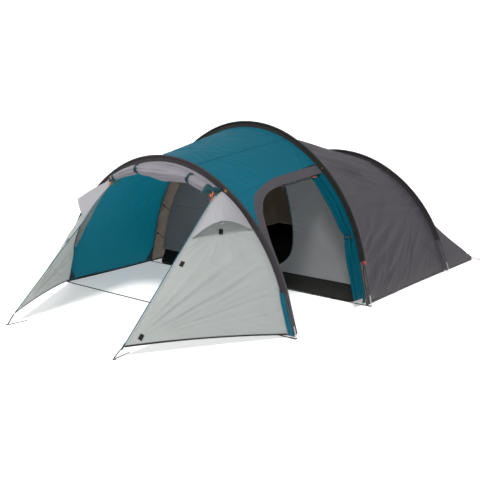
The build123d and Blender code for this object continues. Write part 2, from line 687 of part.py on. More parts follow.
sd_tie = strap_loop(c5, tdir, (0, 1, 0), 0.0455, 0.0250, 0.018, 0.0018)
zax = np.cross(tdir, np.array([0, 1, 0]) - tdir * tdir[1])
zax /= np.linalg.norm(zax)
if zax[0] < 0:
    zax = -zax
pc = c5 + zax * (0.0250 + 0.0018 + 0.0076)
tgx = local(pc, zax, tdir)
tg = (tgx * (Cylinder(4.5, 34) - Rot(0, 90, 0) * Cylinder(2.1, 20))).solid()
put("side_door_toggle", tg)
JOINTS["toggle_side"] = (mm(pc) / 1000, zax)
a = c5 + zax * (0.0250 + 0.0019)
stud = rod(a, a + zax * 0.016, 1.6) + rod(a + zax * 0.0157, a + zax * 0.019, 3.0)
put("side_door_tie", sd_tie)
put("toggle_studs", pegs_ + [stud])

# ---------------------------------------------------------- 9. inner tent
YI = 1.150
TB = t_at_z(2, INNER_INSET, TUB_H + 0.004)
TI = [1 - TB + (2 * TB - 1) * i / 18 for i in range(19)]
door = [(0.372, 0.948), (0.419, 0.812), (0.450, 0.685), (0.474, 0.557), (0.477, 0.435), (0.463, 0.350), (0.420, 0.278),
        (0.321, 0.205), (0.18, 0.185), (-0.02, 0.180), (-0.20, 0.185), (-0.30, 0.205), (-0.36, 0.26), (-0.385, 0.36),
        (-0.385, 0.50), (-0.375, 0.66), (-0.350, 0.82), (-0.300, 0.96), (-0.215, 1.075), (-0.10, 1.135), (0.03, 1.150),
        (0.16, 1.125), (0.28, 1.055)]
out = [mm((sec(2, INNER_INSET, t)[0], YI, sec(2, INNER_INSET, t)[1])) for t in TI]
face = Face(Wire.make_polygon(out, close=True))
wall = Solid.extrude(face, Vector(0, -FAB, 0))
cut = Solid.extrude(Face(Wire.make_polygon([mm((x, YI + 0.02, z)) for x, z in door], close=True)), Vector(0, -60, 0))
put("inner_front_wall", wall - cut)

rows = []
T3 = t_at_z(3, 0.135, TUB_H + 0.004)
gx, gy = 1.125, 3.130
for i in range(19):
    f = i / 18
    t2 = 1 - TB + (2 * TB - 1) * f
    t3 = 1 - T3 + (2 * T3 - 1) * f
    a, b = sec(2, INNER_INSET, t2), sec(3, 0.135, t3)
    A = np.array([a[0], YI + 0.002, a[1]])
    B = np.array([b[0], HOOP[3][0] - 0.03, b[1]])
    M = (A + B) / 2
    M = M * np.array([0.992, 1, 0.996])
    G = tail_ground(f, gx, gy, TUB_H + 0.004, [abs(b[0]), HOOP[3][0] + 0.05, TUB_H + 0.004], t1=0.84)
    H = B * 0.5 + G * 0.5
    rows.append([A, M, B, H, G])
# the two end rows would fold flat, so the side rows start just above them
P, Q = grid(rows)
put("inner_canopy", sheet(P, [tuple(reversed(q)) for q in Q], 2.0))

# bathtub floor: rounded tray with upright walls
fx, rx = abs(sec(2, INNER_INSET, TB)[0]), gx
base = [(-fx, YI + 0.001), (fx, YI + 0.001), (abs(sec(3, 0.135, T3)[0]), HOOP[3][0] + 0.02), (rx, gy), (-rx, gy),
        (-abs(sec(3, 0.135, T3)[0]), HOOP[3][0] + 0.02)]
cx = sum(p[0] for p in base) / 6
cy = (YI + gy) / 2
tub = []
lower = [(p[0] * 1.015, p[1]) for p in base]
Pv = [(x, y, 0.0) for x, y in lower] + [(x, y, TUB_H) for x, y in base]
inner_low = [(x - math.copysign(0.003, x), y + (0.003 if y < 2 else (-0.003 if y > 3 else 0)), 0.003) for x, y in lower]
inner_top = [(x - math.copysign(0.003, x), y + (0.003 if y < 2 else (-0.003 if y > 3 else 0)), TUB_H) for x, y in base]
V = [mm(p) for p in Pv + inner_low + inner_top]
T = []
for i in range(6):
    j = (i + 1) % 6
    T += [(i, j, j + 6), (i, j + 6, i + 6)]                       # outer wall
    T += [(12 + j, 12 + i, 18 + i), (12 + j, 18 + i, 18 + j)]     # inner wall
    T += [(6 + i, 6 + j, 18 + j), (6 + i, 18 + j, 18 + i)]        # rim
for i in range(1, 5):
    T.append((0, i + 1, i))
    T.append((12, 12 + i, 13 + i))
put("bathtub_floor", poly_solid(V, T))

# inner door flap tied up at the left of the doorway, on the bedroom side
put("inner_door_roll", roll([(-0.432, YI + 0.040, 0.175), (-0.440, YI + 0.042, 0.30), (-0.440, YI + 0.042, 0.50),
                             (-0.432, YI + 0.042, 0.70), (-0.400, YI + 0.042, 0.88), (-0.345, YI + 0.040, 1.02)],
                            [(0.026, 0.026), (0.034, 0.034), (0.030, 0.030), (0.034, 0.034), (0.030, 0.030),
                             (0.018, 0.018)], n=12, axis_hint=(0, 1, 0)))
# inner zip: straight run along the doorway's foot
za, zb2 = np.array([-0.180, YI - 0.0125, 0.170]), np.array([0.170, YI - 0.0125, 0.170])
su, sn = np.array([1.0, 0, 0]), np.array([0, -1.0, 0])
coil = ribbon([za, zb2], sn, 0.0050, 0.0024)
tape = ribbon([za - np.array([0, 0, 0.0080]), zb2 - np.array([0, 0, 0.0080])], sn, 0.0112, 0.0010)
put("inner_door_zip", coil + tape)
o = za + su * 0.012
pl = local(o, su, sn)
tside = 1 if np.dot(np.cross(sn, su), [0, 0, -1]) > 0 else -1
put("inner_zip_slider", slider_solid(pl, tside))
put("inner_zip_puller", puller_solid(pl, 1))
JOINTS["inner_zip"] = (su, mm(o + sn * 0.006) / 1000, np.cross(sn, su))

# elastic hangers between fly and inner tent
hang = []
for sg in (1, -1):
    for z in (0.30, 0.60, 0.885):
        a = sec(2, FLY_INSET + 0.0090, t_at_z(2, FLY_INSET, z))
        b = sec(2, INNER_INSET - 0.0015, t_at_z(2, INNER_INSET, z - 0.035))
        hang.append(rod((sg * a[0], 1.112, a[1]), (sg * b[0], YI - 0.004, b[1]), 2.0))
    for z in (0.35, 0.75):
        a = sec(3, FLY_INSET + 0.0090, t_at_z(3, FLY_INSET, z))
        b = sec(3, 0.1335, t_at_z(3, 0.135, z - 0.02))
        hang.append(rod((sg * a[0], HOOP[3][0] - 0.010, a[1]), (sg * b[0], HOOP[3][0] - 0.030, b[1]), 2.0))
put("inner_hangers", hang)

# ---------------------------------------------------------- 10. pegs, loops
def peg(o, hdg, hand):
    """Round-wire peg lying flat; hook at o, shaft towards heading hdg."""
    r = 2.5
    u = Vector(cos(hdg), sin(hdg), 0)
    s = Vector(-sin(hdg), cos(hdg), 0) * hand
    O = mm(o)
    O = Vector(O.X, O.Y, r)
    pts = [O - s * 16 + u * 12, O - s * 16 - u * 9, O - u * 9, O + u * 168]
    path = FilletPolyline(*pts, radius=6.5).wire()
    body = Solid.sweep((Plane(origin=path.position_at(0), z_dir=path.tangent_at(0)) * Circle(r)).face(), path)
    e = O + u * 168
    return body + Solid.make_cone(r, 0.4, 8, Plane(origin=e, z_dir=u))


PEGS = {"front_right": ((0.600, -1.150, 0), radians(96)), "front_left": ((-0.600, -1.150, 0), radians(84)),
        "rear_right": ((1.344, 3.372, 0), radians(176)), "rear_left": ((-1.344, 3.372, 0), radians(4))}
loops = []
for nm, (o, h) in PEGS.items():
    sg = 1 if o[0] > 0 else -1
    put(f"peg_{nm}", peg(o, h, sg))
    c = tip if "front" in nm else np.array(CORNER)
    c = mir(c, sg)
    # doubled webbing loop: from the fabric corner down round the peg's hook
    o3 = np.array([o[0], o[1], 0.0])
    d = o3 - c
    d[2] = 0
    d /= np.linalg.norm(d)
    end = o3 - d * 0.0045 + np.array([0, 0, 0.0078])
    st = c + d * 0.006 - np.array([0, 0, 0.004])
    sd_ = np.cross(d, [0, 0, 1])
    loops.append(ribbon([st, st * 0.6 + end * 0.4 + np.array([0, 0, 0.002]), end], [0, 0, 1], 0.012, 0.0016))
put("corner_peg_loops", loops)

# -------------------------------------------------------------- 11. binding
hem = []
for sg in (1, -1):
    pts = []
    for c in CS:
        d = wing(1.0, c) - wing(0.985, c)
        c1 = min(max(c, 0.01), 0.99)
        pts.append(mir(wing(1.0, c1) + d / np.linalg.norm(d) * 0.0078, sg))
    hem.append(ribbon(pts, mir(wn, sg), 0.0110, 0.0030))
put("wing_hem_bindings", hem)

for d in DONE:
    print(*d)
print("nodes", len(DONE))
for k, v in JOINTS.items():
    print("J", k, [np.round([float(c) for c in q], 5).tolist() for q in (v if isinstance(v, tuple) else (v,))])
print("zip travel", round(float(ZL), 4))
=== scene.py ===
import bpy, bmesh, math
import numpy as np
from math import sin, cos, pi, radians
from mathutils import Matrix, Vector


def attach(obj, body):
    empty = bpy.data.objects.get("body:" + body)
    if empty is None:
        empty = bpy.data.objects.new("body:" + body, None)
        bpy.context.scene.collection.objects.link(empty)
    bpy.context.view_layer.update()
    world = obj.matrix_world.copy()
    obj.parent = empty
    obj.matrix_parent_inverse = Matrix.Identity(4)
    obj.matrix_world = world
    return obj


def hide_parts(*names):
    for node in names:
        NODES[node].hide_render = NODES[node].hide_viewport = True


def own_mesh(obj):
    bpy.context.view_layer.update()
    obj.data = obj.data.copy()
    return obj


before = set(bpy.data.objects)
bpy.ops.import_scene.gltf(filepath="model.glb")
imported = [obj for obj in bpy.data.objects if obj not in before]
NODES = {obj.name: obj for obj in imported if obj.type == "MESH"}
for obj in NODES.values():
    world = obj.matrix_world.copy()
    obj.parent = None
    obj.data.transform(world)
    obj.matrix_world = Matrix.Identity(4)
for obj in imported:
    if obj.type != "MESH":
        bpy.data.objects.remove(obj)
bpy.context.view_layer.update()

# ------------------------------------------------------------------ constants
YO = 1.1152
HOOP = {1: (0.0, 1.2754, 1.1453, 0.4534, 1.4535, 0.8198),
        2: (1.1044, 1.5000, 1.0807, 0.4405, 1.4229, 0.9077),
        3: (2.6564, 1.1331, 1.2426, 0.4729, 1.3813, 0.7264)}
PI_, FI = 0.0085, 0.055
SLEEVE_END_Z = {1: 0.350, 2: 0.380, 3: 0.325}
TIP = np.array([0.617, -1.070, 0.075])
TOP = np.array([0.570, -0.045, 1.012])
CORNER = (1.271, 3.316, 0.030)
INNER, TUB_H, YI = 0.150, 0.140, 1.150
rng = np.random.RandomState(7)


# ---------------------------------------------------------------- hoop curves
def arcs(k, ins):
    y, h, rt, tt, rs, ts = HOOP[k]
    a = tt + ts
    c1x, c1z = 0.0, h - rt
    c2x, c2z = (rt - rs) * sin(tt), h - rt + (rt - rs) * cos(tt)
    r1, r2 = rt - ins, rs - ins
    ex, ez = c2x + r2 * sin(a), c2z + r2 * cos(a)
    return c1x, c1z, c2x, c2z, r1, r2, tt, ts, ex, ez, cos(a), -sin(a)


def at_s(k, ins, s):
    s = np.asarray(s, float)
    ins = np.asarray(ins, float)
    c1x, c1z, c2x, c2z, r1, r2, tt, ts, ex, ez, dx, dz = arcs(k, ins)
    q = np.abs(s)
    sg = np.where(s >= 0, 1.0, -1.0)
    l1, l2 = r1 * tt, r2 * ts
    a1 = q / r1
    a2 = tt + (q - l1) / r2
    q3 = q - l1 - l2
    x = np.where(q <= l1, c1x + r1 * np.sin(a1), np.where(q <= l1 + l2, c2x + r2 * np.sin(a2), ex + dx * q3))
    z = np.where(q <= l1, c1z + r1 * np.cos(a1), np.where(q <= l1 + l2, c2z + r2 * np.cos(a2), ez + dz * q3))
    return sg * x, z


def total(k, ins):
    c1x, c1z, c2x, c2z, r1, r2, tt, ts, ex, ez, dx, dz = arcs(k, ins)
    return r1 * tt + r2 * ts + ez / (-dz)


def sec(k, ins, t):
    return at_s(k, ins, (2 * np.asarray(t, float) - 1) * total(k, ins))


def t_at_z(k, ins, z):
    lo, hi = 0.5, 1.0
    for _ in range(60):
        m = (lo + hi) / 2
        if float(sec(k, ins, m)[1]) > z:
            lo = m
        else:
            hi = m
    return lo


def s_at_z(k, ins, z):
    return (2 * t_at_z(k, ins, z) - 1) * total(k, ins)


def vest(w, t, ins=FI, sag=0.010):
    w = np.asarray(w, float)
    ax, az = sec(1, ins, t)
    bx, bz = sec(2, ins, t)
    g = 4 * w * (1 - w)
    x, z = ax * (1 - w) + bx * w, az * (1 - w) + bz * w
    return np.stack([x * (1 - sag * g), HOOP[2][0] * w + 0 * x, z * (1 - 0.2 * sag * g)], -1)


def rear(w, t, ins=FI, sag=0.008):
    w = np.asarray(w, float)
    ax, az = sec(2, ins, t)
    bx, bz = sec(3, ins, t)
    g = 4 * w * (1 - w)
    x, z = ax * (1 - w) + bx * w, az * (1 - w) + bz * w
    return np.stack([x * (1 - sag * g), HOOP[2][0] + (HOOP[3][0] - HOOP[2][0]) * w + 0 * x,
                     z * (1 - 0.3 * sag * g)], -1)


def spline(pts, n):
    """Catmull-Rom through pts, n samples, evenly spaced in parameter."""
    p = np.array(pts, float)
    p = np.vstack([2 * p[0] - p[1], p, 2 * p[-1] - p[-2]])
    m = len(p) - 3
    out = []
    for u in np.linspace(0, m - 1e-9, n):
        i = int(u)
        f = u - i
        a, b, c, d = p[i:i + 4]
        out.append(0.5 * (2 * b + (c - a) * f + (2 * a - 5 * b + 4 * c - d) * f * f + (3 * b - a - 3 * c + d) * f ** 3))
    return np.array(out)


# ---------------------------------------------------------------- noise fields
def field(seed, n=14, lo=1.0, hi=6.0):
    r = np.random.RandomState(seed)
    k = r.uniform(lo, hi, n) * 2 * pi
    a = r.uniform(0, 2 * pi, n)
    ph = r.uniform(0, 2 * pi, n)
    am = (lo / (k / 2 / pi)) ** 0.8
    am /= am.sum()

    def f(u, v):
        s = 0
        for i in range(n):
            s = s + am[i] * np.sin(k[i] * (np.cos(a[i]) * u + np.sin(a[i]) * v) + ph[i])
        return s * 2.2
    return f


def fold(u, v, u0, v0, ang, wid, length, amp, soft=0.35):
    """One soft crease: centre u0, v0, running along ang, wid wide."""
    c, s = cos(ang), sin(ang)
    a = (u - u0) * c + (v - v0) * s
    b = -(u - u0) * s + (v - v0) * c
    e = np.exp(-np.abs(a / length) ** 3)
    return amp * e * (np.exp(-(b / wid) ** 2) - 0.45 * np.exp(-((b - 1.5 * wid) / wid) ** 2)
                      - 0.45 * np.exp(-((b + 1.5 * wid) / wid) ** 2))


def ridge(x, w):
    return np.exp(-(x / w) ** 2) - 0.45 * np.exp(-((x - 1.7 * w) / w) ** 2) - 0.45 * np.exp(-((x + 1.7 * w) / w) ** 2)


def rays(x, y, cx, cy, a0, a1, n, seed, amp=0.003, reach=0.5, wid=0.045, start=0.03):
    """Tension creases that fan out from one held point."""
    r = np.random.RandomState(seed)
    ph = np.arctan2(y - cy, x - cx)
    d = np.hypot(x - cx, y - cy)
    out = 0
    for i in range(n):
        a = a0 + (a1 - a0) * (i + r.uniform(0.1, 0.9)) / n
        w_ = wid * r.uniform(0.6, 1.5)
        l_ = reach * r.uniform(0.5, 1.4)
        bend = r.uniform(-0.12, 0.12)
        env = np.minimum(1, d / start) * np.exp(-(d / l_) ** 2) * (0.35 + np.minimum(1, d / 0.25))
        out = out + r.uniform(0.4, 1.1) * ridge(ph - a - bend * d, w_) * env
    return amp * out


def creases(u, v, seed, n, box, angle, wid=(0.010, 0.030), length=(0.10, 0.30), amp=(0.0012, 0.0032)):
    """Scattered slack creases; angle(u0, v0, rng) gives each one's direction."""
    r = np.random.RandomState(seed)
    out = 0
    for i in range(n):
        a, b = r.uniform(box[0], box[1]), r.uniform(box[2], box[3])
        out = out + fold(u, v, a, b, angle(a, b, r), r.uniform(*wid), r.uniform(*length), r.uniform(*amp) * r.choice([1, 1, -1]))
    return out


# ---------------------------------------------------------------- mesh making
ROOT = bpy.context.scene.collection


def make(name, V, F, mat, uv=None, smooth=True, mats=None, fmat=None):
    V = np.asarray(V, float).reshape(-1, 3).copy()
    V[:, 1] -= YO
    me = bpy.data.meshes.new(name)
    me.from_pydata(V.tolist(), [], [tuple(int(i) for i in f) for f in F])
    me.update()
    o = bpy.data.objects.new(name, me)
    ROOT.objects.link(o)
    if uv is not None:
        lay = me.uv_layers.new(name="UVMap")
        uv = np.asarray(uv, float).reshape(-1, 2)
        idx = np.zeros(len(me.loops), int)
        me.loops.foreach_get("vertex_index", idx)
        lay.data.foreach_set("uv", uv[idx].astype(np.float32).ravel())
    for m in ([mat] if mats is None else mats):
        me.materials.append(m)
    if fmat is not None:
        me.polygons.foreach_set("material_index", np.asarray(fmat, int))
    me.polygons.foreach_set("use_smooth", [smooth] * len(me.polygons))
    me.update()
    return o


def gridfaces(n, m, flip=False, wrap=False, base=0):
    F = []
    for i in range(n - 1):
        for j in range(m if wrap else m - 1):
            a, b = i * m + j, i * m + (j + 1) % m
            q = (a, b, b + m, a + m)
            F.append(tuple(base + x for x in (reversed(q) if flip else q)))
    return F


def normals(G):
    du = np.gradient(G, axis=0)
    dv = np.gradient(G, axis=1)
    n = np.cross(du, dv)
    return n / np.maximum(np.linalg.norm(n, axis=-1, keepdims=True), 1e-12)


def arclen_uv(G):
    du = np.linalg.norm(np.diff(G, axis=0, prepend=G[:1]), axis=-1)
    dv = np.linalg.norm(np.diff(G, axis=1, prepend=G[:, :1]), axis=-1)
    return np.stack([np.cumsum(du, 0), np.cumsum(dv, 1)], -1)


def area_of(G):
    a, b, c, d = G[:-1, :-1], G[:-1, 1:], G[1:, 1:], G[1:, :-1]
    return float((np.linalg.norm(np.cross(b - a, c - a), axis=-1) + np.linalg.norm(np.cross(c - a, d - a), axis=-1)).sum() / 2)


def solidify(o, th=0.0012, off=-1.0):
    m = o.modifiers.new("thickness", "SOLIDIFY")
    m.thickness, m.offset, m.use_even_offset = th, off, False
    return o


def cloth(name, G, mat, th=0.0012, flip=False, node=None, body="tent", flat=None, area=None,
          declare=True, uv=None, keep=None):
    n, m = G.shape[:2]
    F = gridfaces(n, m, flip)
    if keep is not None:
        K = keep[:-1, :-1] & keep[1:, :-1] & keep[:-1, 1:] & keep[1:, 1:]
        F = [f for f, k in zip(F, K.ravel()) if k]
    o = make(name, G, F, mat, uv=arclen_uv(G) if uv is None else uv)
    solidify(o, th)
    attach(o, body)
    if node:
        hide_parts(*([node] if isinstance(node, str) else node))
    if declare:
        A = area_of(G) if area is None else area
        if flat is None:
            U = arclen_uv(G)
            flat = (float(U[-1, :, 0].max()), float(U[:, -1, 1].max()))
        if keep is not None:
            A *= len(F) / ((n - 1) * (m - 1))
        if A < 0.31 * flat[0] * flat[1]:
            flat = (max(flat), A / max(flat))
    return o


def frames_along(P, hint=None):
    P = np.asarray(P, float)
    T = np.gradient(P, axis=0)
    T /= np.linalg.norm(T, axis=1, keepdims=True)
    N = np.zeros_like(T)
    n = np.array(hint if hint is not None else [0, 0, 1.0], float)
    for i, t in enumerate(T):
        n = (np.array(hint, float) if hint is not None else n)
        n = n - t * n.dot(t)
        n /= np.linalg.norm(n)
        N[i] = n
    return T, N, np.cross(T, N)


def tube(name, P, r, mat, n=10, hint=None, caps=True, body="tent", node=None, prof=None, ride=True):
    """Round or profiled tube along P; r a number or one per point."""
    P = np.asarray(P, float)
    T, N, B = frames_along(P, hint)
    r = np.broadcast_to(np.asarray(r, float).reshape(-1, 1) if np.ndim(r) == 1 else np.asarray(r, float), (len(P), 1))
    a = np.arange(n) / n * 2 * pi
    if prof is None:
        pr = np.stack([np.cos(a), np.sin(a)], -1)
    else:
        pr = np.asarray(prof, float)
        n = len(pr)
    G = P[:, None] + (N[:, None] * pr[None, :, :1] + B[:, None] * pr[None, :, 1:]) * r[:, :, None]
    F = gridfaces(len(P), n, wrap=True, flip=True)
    V = G.reshape(-1, 3)
    L = np.concatenate([[0], np.cumsum(np.linalg.norm(np.diff(P, axis=0), axis=1))])
    per = np.arange(n) / n * 2 * pi * float(np.mean(r))
    uv = np.stack(np.meshgrid(L, per, indexing="ij"), -1).reshape(-1, 2)
    if caps:
        F += [tuple(range(n)), tuple(reversed(range((len(P) - 1) * n, len(P) * n)))]
    o = make(name, V, F, mat, uv=uv)
    if ride:
        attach(o, body)
    if node:
        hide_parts(*([node] if isinstance(node, str) else node))
    return o


def strip(name, P, N, width, th, mat, body="tent", node=None, crown=0.0, cols=5):
    """Flat band along P with face normals N."""
    P, N = np.asarray(P, float), np.broadcast_to(np.asarray(N, float), (len(P), 3))
    T = np.gradient(P, axis=0)
    T /= np.linalg.norm(T, axis=1, keepdims=True)
    N = N - T * (N * T).sum(1, keepdims=True)
    N = N / np.linalg.norm(N, axis=1, keepdims=True)
    S = np.cross(T, N)
    w = np.broadcast_to(np.asarray(width, float), (len(P),))
    q = np.linspace(-0.5, 0.5, cols)
    G = P[:, None] + S[:, None] * (q[None, :, None] * w[:, None, None]) + N[:, None] * (crown * (1 - 4 * q ** 2))[None, :, None]
    L = np.concatenate([[0], np.cumsum(np.linalg.norm(np.diff(P, axis=0), axis=1))])
    uv = np.stack(np.meshgrid(L, np.linspace(0, 1, cols) * float(w.mean()), indexing="ij"), -1)
    o = make(name, G, gridfaces(len(P), cols), mat, uv=uv)
    solidify(o, th, 0.0)
    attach(o, body)
    if node:
        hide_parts(*([node] if isinstance(node, str) else node))
    return o


# ------------------------------------------------------------------ materials
def lin(h):
    h = h.lstrip("#")
    c = [int(h[i:i + 2], 16) / 255 for i in (0, 2, 4)]
    return tuple((x / 12.92 if x <= 0.04045 else ((x + 0.055) / 1.055) ** 2.4) for x in c) + (1.0,)


class NT:
    def __init__(s, name):
        s.m = bpy.data.materials.new(name)
        s.m.use_nodes = True
        s.t = s.m.node_tree
        s.t.nodes.clear()
        s.out = s.add("ShaderNodeOutputMaterial")

    def add(s, kind, **kw):
        n = s.t.nodes.new(kind)
        for k, v in kw.items():
            if k.startswith("i_"):
                key = k[2:].replace("_", " ")
                n.inputs[key].default_value = v
            else:
                setattr(n, k, v)
        return n

    def link(s, a, b):
        s.t.links.new(a, b)

    def math(s, op, a, b=None, c=None):
        n = s.add("ShaderNodeMath", operation=op)
        for i, v in enumerate((a, b, c)):
            if v is None:
                continue
            if isinstance(v, (int, float)):
                n.inputs[i].default_value = v
            else:
                s.link(v, n.inputs[i])
        return n.outputs[0]


def fabric(name, col, rough=0.62, weave=900.0, bump=0.12, var=0.10, trans=0.0, tcol=None, sheen=0.15, spec=0.35, soft=0.5,
           dirt=0.06, ripple=0.0, big=0.25):
    k = NT(name)
    uvn = k.add("ShaderNodeTexCoord")
    obj = uvn.outputs["Object"]
    # woven threads, from the cloth's own coordinates in metres
    sep = k.add("ShaderNodeSeparateXYZ")
    k.link(uvn.outputs["UV"], sep.inputs[0])
    a = k.math("SINE", k.math("MULTIPLY", sep.outputs[0], weave * 2 * pi))
    b = k.math("SINE", k.math("MULTIPLY", sep.outputs[1], weave * 2 * pi))
    th = k.math("MULTIPLY", a, b)
    # soft variation of dye and sizing
    n1 = k.add("ShaderNodeTexNoise", i_Scale=2.2, i_Detail=3.0, i_Roughness=0.55)
    k.link(obj, n1.inputs["Vector"])
    n2 = k.add("ShaderNodeTexNoise", i_Scale=95.0, i_Detail=2.0, i_Roughness=0.6)
    k.link(obj, n2.inputs["Vector"])
    ramp = k.add("ShaderNodeMapRange")
    k.link(n1.outputs["Fac"], ramp.inputs["Value"])
    ramp.inputs["To Min"].default_value = 1 - var
    ramp.inputs["To Max"].default_value = 1 + var
    fine = k.math("MULTIPLY_ADD", n2.outputs["Fac"], var * 0.9, 1 - var * 0.45)
    f = k.math("MULTIPLY", ramp.outputs[0], fine)
    f = k.math("MULTIPLY", f, k.math("MULTIPLY_ADD", th, 0.03, 1.0))
    mul = k.add("ShaderNodeMix", data_type="RGBA", blend_type="MULTIPLY")
    mul.inputs[0].default_value = 1.0
    mul.inputs[6].default_value = lin(col)
    cmb = k.add("ShaderNodeCombineColor")
    for i in range(3):
        k.link(f, cmb.inputs[i])
    k.link(cmb.outputs[0], mul.inputs[7])
    colour = mul.outputs[2]
    if dirt:
        # dust near the ground
        s2 = k.add("ShaderNodeSeparateXYZ")
        k.link(obj, s2.inputs[0])
        mr = k.add("ShaderNodeMapRange")
        k.link(s2.outputs[2], mr.inputs["Value"])
        mr.inputs["From Min"].default_value, mr.inputs["From Max"].default_value = 0.0, 0.14
        mr.inputs["To Min"].default_value, mr.inputs["To Max"].default_value = dirt, 0.0
        dm = k.math("MULTIPLY", mr.outputs[0], k.math("MULTIPLY_ADD", n2.outputs["Fac"], 1.6, 0.2))
        mx = k.add("ShaderNodeMix", data_type="RGBA")
        k.link(dm, mx.inputs[0])
        k.link(colour, mx.inputs[6])
        mx.inputs[7].default_value = lin("8a8378")
        colour = mx.outputs[2]
    p = k.add("ShaderNodeBsdfPrincipled")
    k.link(colour, p.inputs["Base Color"])
    p.inputs["Roughness"].default_value = rough
    p.inputs["Specular IOR Level"].default_value = spec
    p.inputs["Sheen Weight"].default_value = sheen
    p.inputs["Sheen Roughness"].default_value = 0.5
    # bump: threads, slight slubs, and soft creasing
    n3 = k.add("ShaderNodeTexNoise", i_Scale=9.0, i_Detail=4.0, i_Roughness=0.5, i_Distortion=0.6)
    k.link(obj, n3.inputs["Vector"])
    h = k.math("MULTIPLY_ADD", th, 0.00006, k.math("MULTIPLY", n2.outputs["Fac"], 0.0005))
    h = k.math("ADD", h, k.math("MULTIPLY", n3.outputs["Fac"], 0.012 * big))
    bp = k.add("ShaderNodeBump")
    bp.inputs["Strength"].default_value = soft
    bp.inputs["Distance"].default_value = 1.0
    k.link(h, bp.inputs["Height"])
    k.link(bp.outputs[0], p.inputs["Normal"])
    if trans > 0:
        t = k.add("ShaderNodeBsdfTranslucent")
        if tcol:
            t.inputs["Color"].default_value = lin(tcol)
        else:
            k.link(colour, t.inputs["Color"])
        k.link(bp.outputs[0], t.inputs["Normal"])
        mixs = k.add("ShaderNodeMixShader")
        mixs.inputs[0].default_value = trans
        k.link(p.outputs[0], mixs.inputs[1])
        k.link(t.outputs[0], mixs.inputs[2])
        k.link(mixs.outputs[0], k.out.inputs[0])
    else:
        k.link(p.outputs[0], k.out.inputs[0])
    return k.m


def solid(name, col, rough=0.4, metal=0.0, spec=0.5, noise=60.0, var=0.08, bump=0.0003, coat=0.0, grain=None):
    k = NT(name)
    tc = k.add("ShaderNodeTexCoord")
    n = k.add("ShaderNodeTexNoise", i_Scale=noise, i_Detail=4.0, i_Roughness=0.6)
    if grain:
        mp = k.add("ShaderNodeMapping")
        mp.inputs["Scale"].default_value = grain
        k.link(tc.outputs["Object"], mp.inputs["Vector"])
        k.link(mp.outputs[0], n.inputs["Vector"])
    else:
        k.link(tc.outputs["Object"], n.inputs["Vector"])
    f = k.math("MULTIPLY_ADD", n.outputs["Fac"], 2 * var, 1 - var)
    cmb = k.add("ShaderNodeCombineColor")
    for i in range(3):
        k.link(f, cmb.inputs[i])
    mul = k.add("ShaderNodeMix", data_type="RGBA", blend_type="MULTIPLY")
    mul.inputs[0].default_value = 1.0
    mul.inputs[6].default_value = lin(col)
    k.link(cmb.outputs[0], mul.inputs[7])
    p = k.add("ShaderNodeBsdfPrincipled")
    k.link(mul.outputs[2], p.inputs["Base Color"])
    p.inputs["Metallic"].default_value = metal
    p.inputs["Specular IOR Level"].default_value = spec
    p.inputs["Coat Weight"].default_value = coat
    r = k.math("MULTIPLY_ADD", n.outputs["Fac"], 0.16, rough - 0.08)
    k.link(r, p.inputs["Roughness"])
    bp = k.add("ShaderNodeBump")
    bp.inputs["Distance"].default_value = 1.0
    bp.inputs["Strength"].default_value = 0.6
    k.link(k.math("MULTIPLY", n.outputs["Fac"], bump), bp.inputs["Height"])
    k.link(bp.outputs[0], p.inputs["Normal"])
    k.link(p.outputs[0], k.out.inputs[0])
    return k.m


def webbing(name, col, axis=0, pitch=420.0, rough=0.7):
    """Coarse woven tape: ribs across the band in object space."""
    k = NT(name)
    tc = k.add("ShaderNodeTexCoord")
    s = k.add("ShaderNodeSeparateXYZ")
    k.link(tc.outputs["Object"], s.inputs[0])
    a = k.math("SINE", k.math("MULTIPLY", s.outputs[0], pitch * 2 * pi))
    b = k.math("SINE", k.math("MULTIPLY", k.math("ADD", s.outputs[1], s.outputs[2]), pitch * 2 * pi))
    h = k.math("MULTIPLY", a, b)
    n = k.add("ShaderNodeTexNoise", i_Scale=40.0, i_Detail=3.0)
    k.link(tc.outputs["Object"], n.inputs["Vector"])
    f = k.math("ADD", k.math("MULTIPLY_ADD", h, 0.18, 0.92), k.math("MULTIPLY", n.outputs["Fac"], 0.2))
    cmb = k.add("ShaderNodeCombineColor")
    for i in range(3):
        k.link(f, cmb.inputs[i])
    mul = k.add("ShaderNodeMix", data_type="RGBA", blend_type="MULTIPLY")
    mul.inputs[0].default_value = 1.0
    mul.inputs[6].default_value = lin(col)
    k.link(cmb.outputs[0], mul.inputs[7])
    p = k.add("ShaderNodeBsdfPrincipled")
    k.link(mul.outputs[2], p.inputs["Base Color"])
    p.inputs["Roughness"].default_value = rough
    p.inputs["Sheen Weight"].default_value = 0.2
    p.inputs["Specular IOR Level"].default_value = 0.3
    bp = k.add("ShaderNodeBump")
    bp.inputs["Distance"].default_value = 1.0
    bp.inputs["Strength"].default_value = 0.5
    k.link(k.math("MULTIPLY", h, 0.0004), bp.inputs["Height"])
    k.link(bp.outputs[0], p.inputs["Normal"])
    k.link(p.outputs[0], k.out.inputs[0])
    return k.m


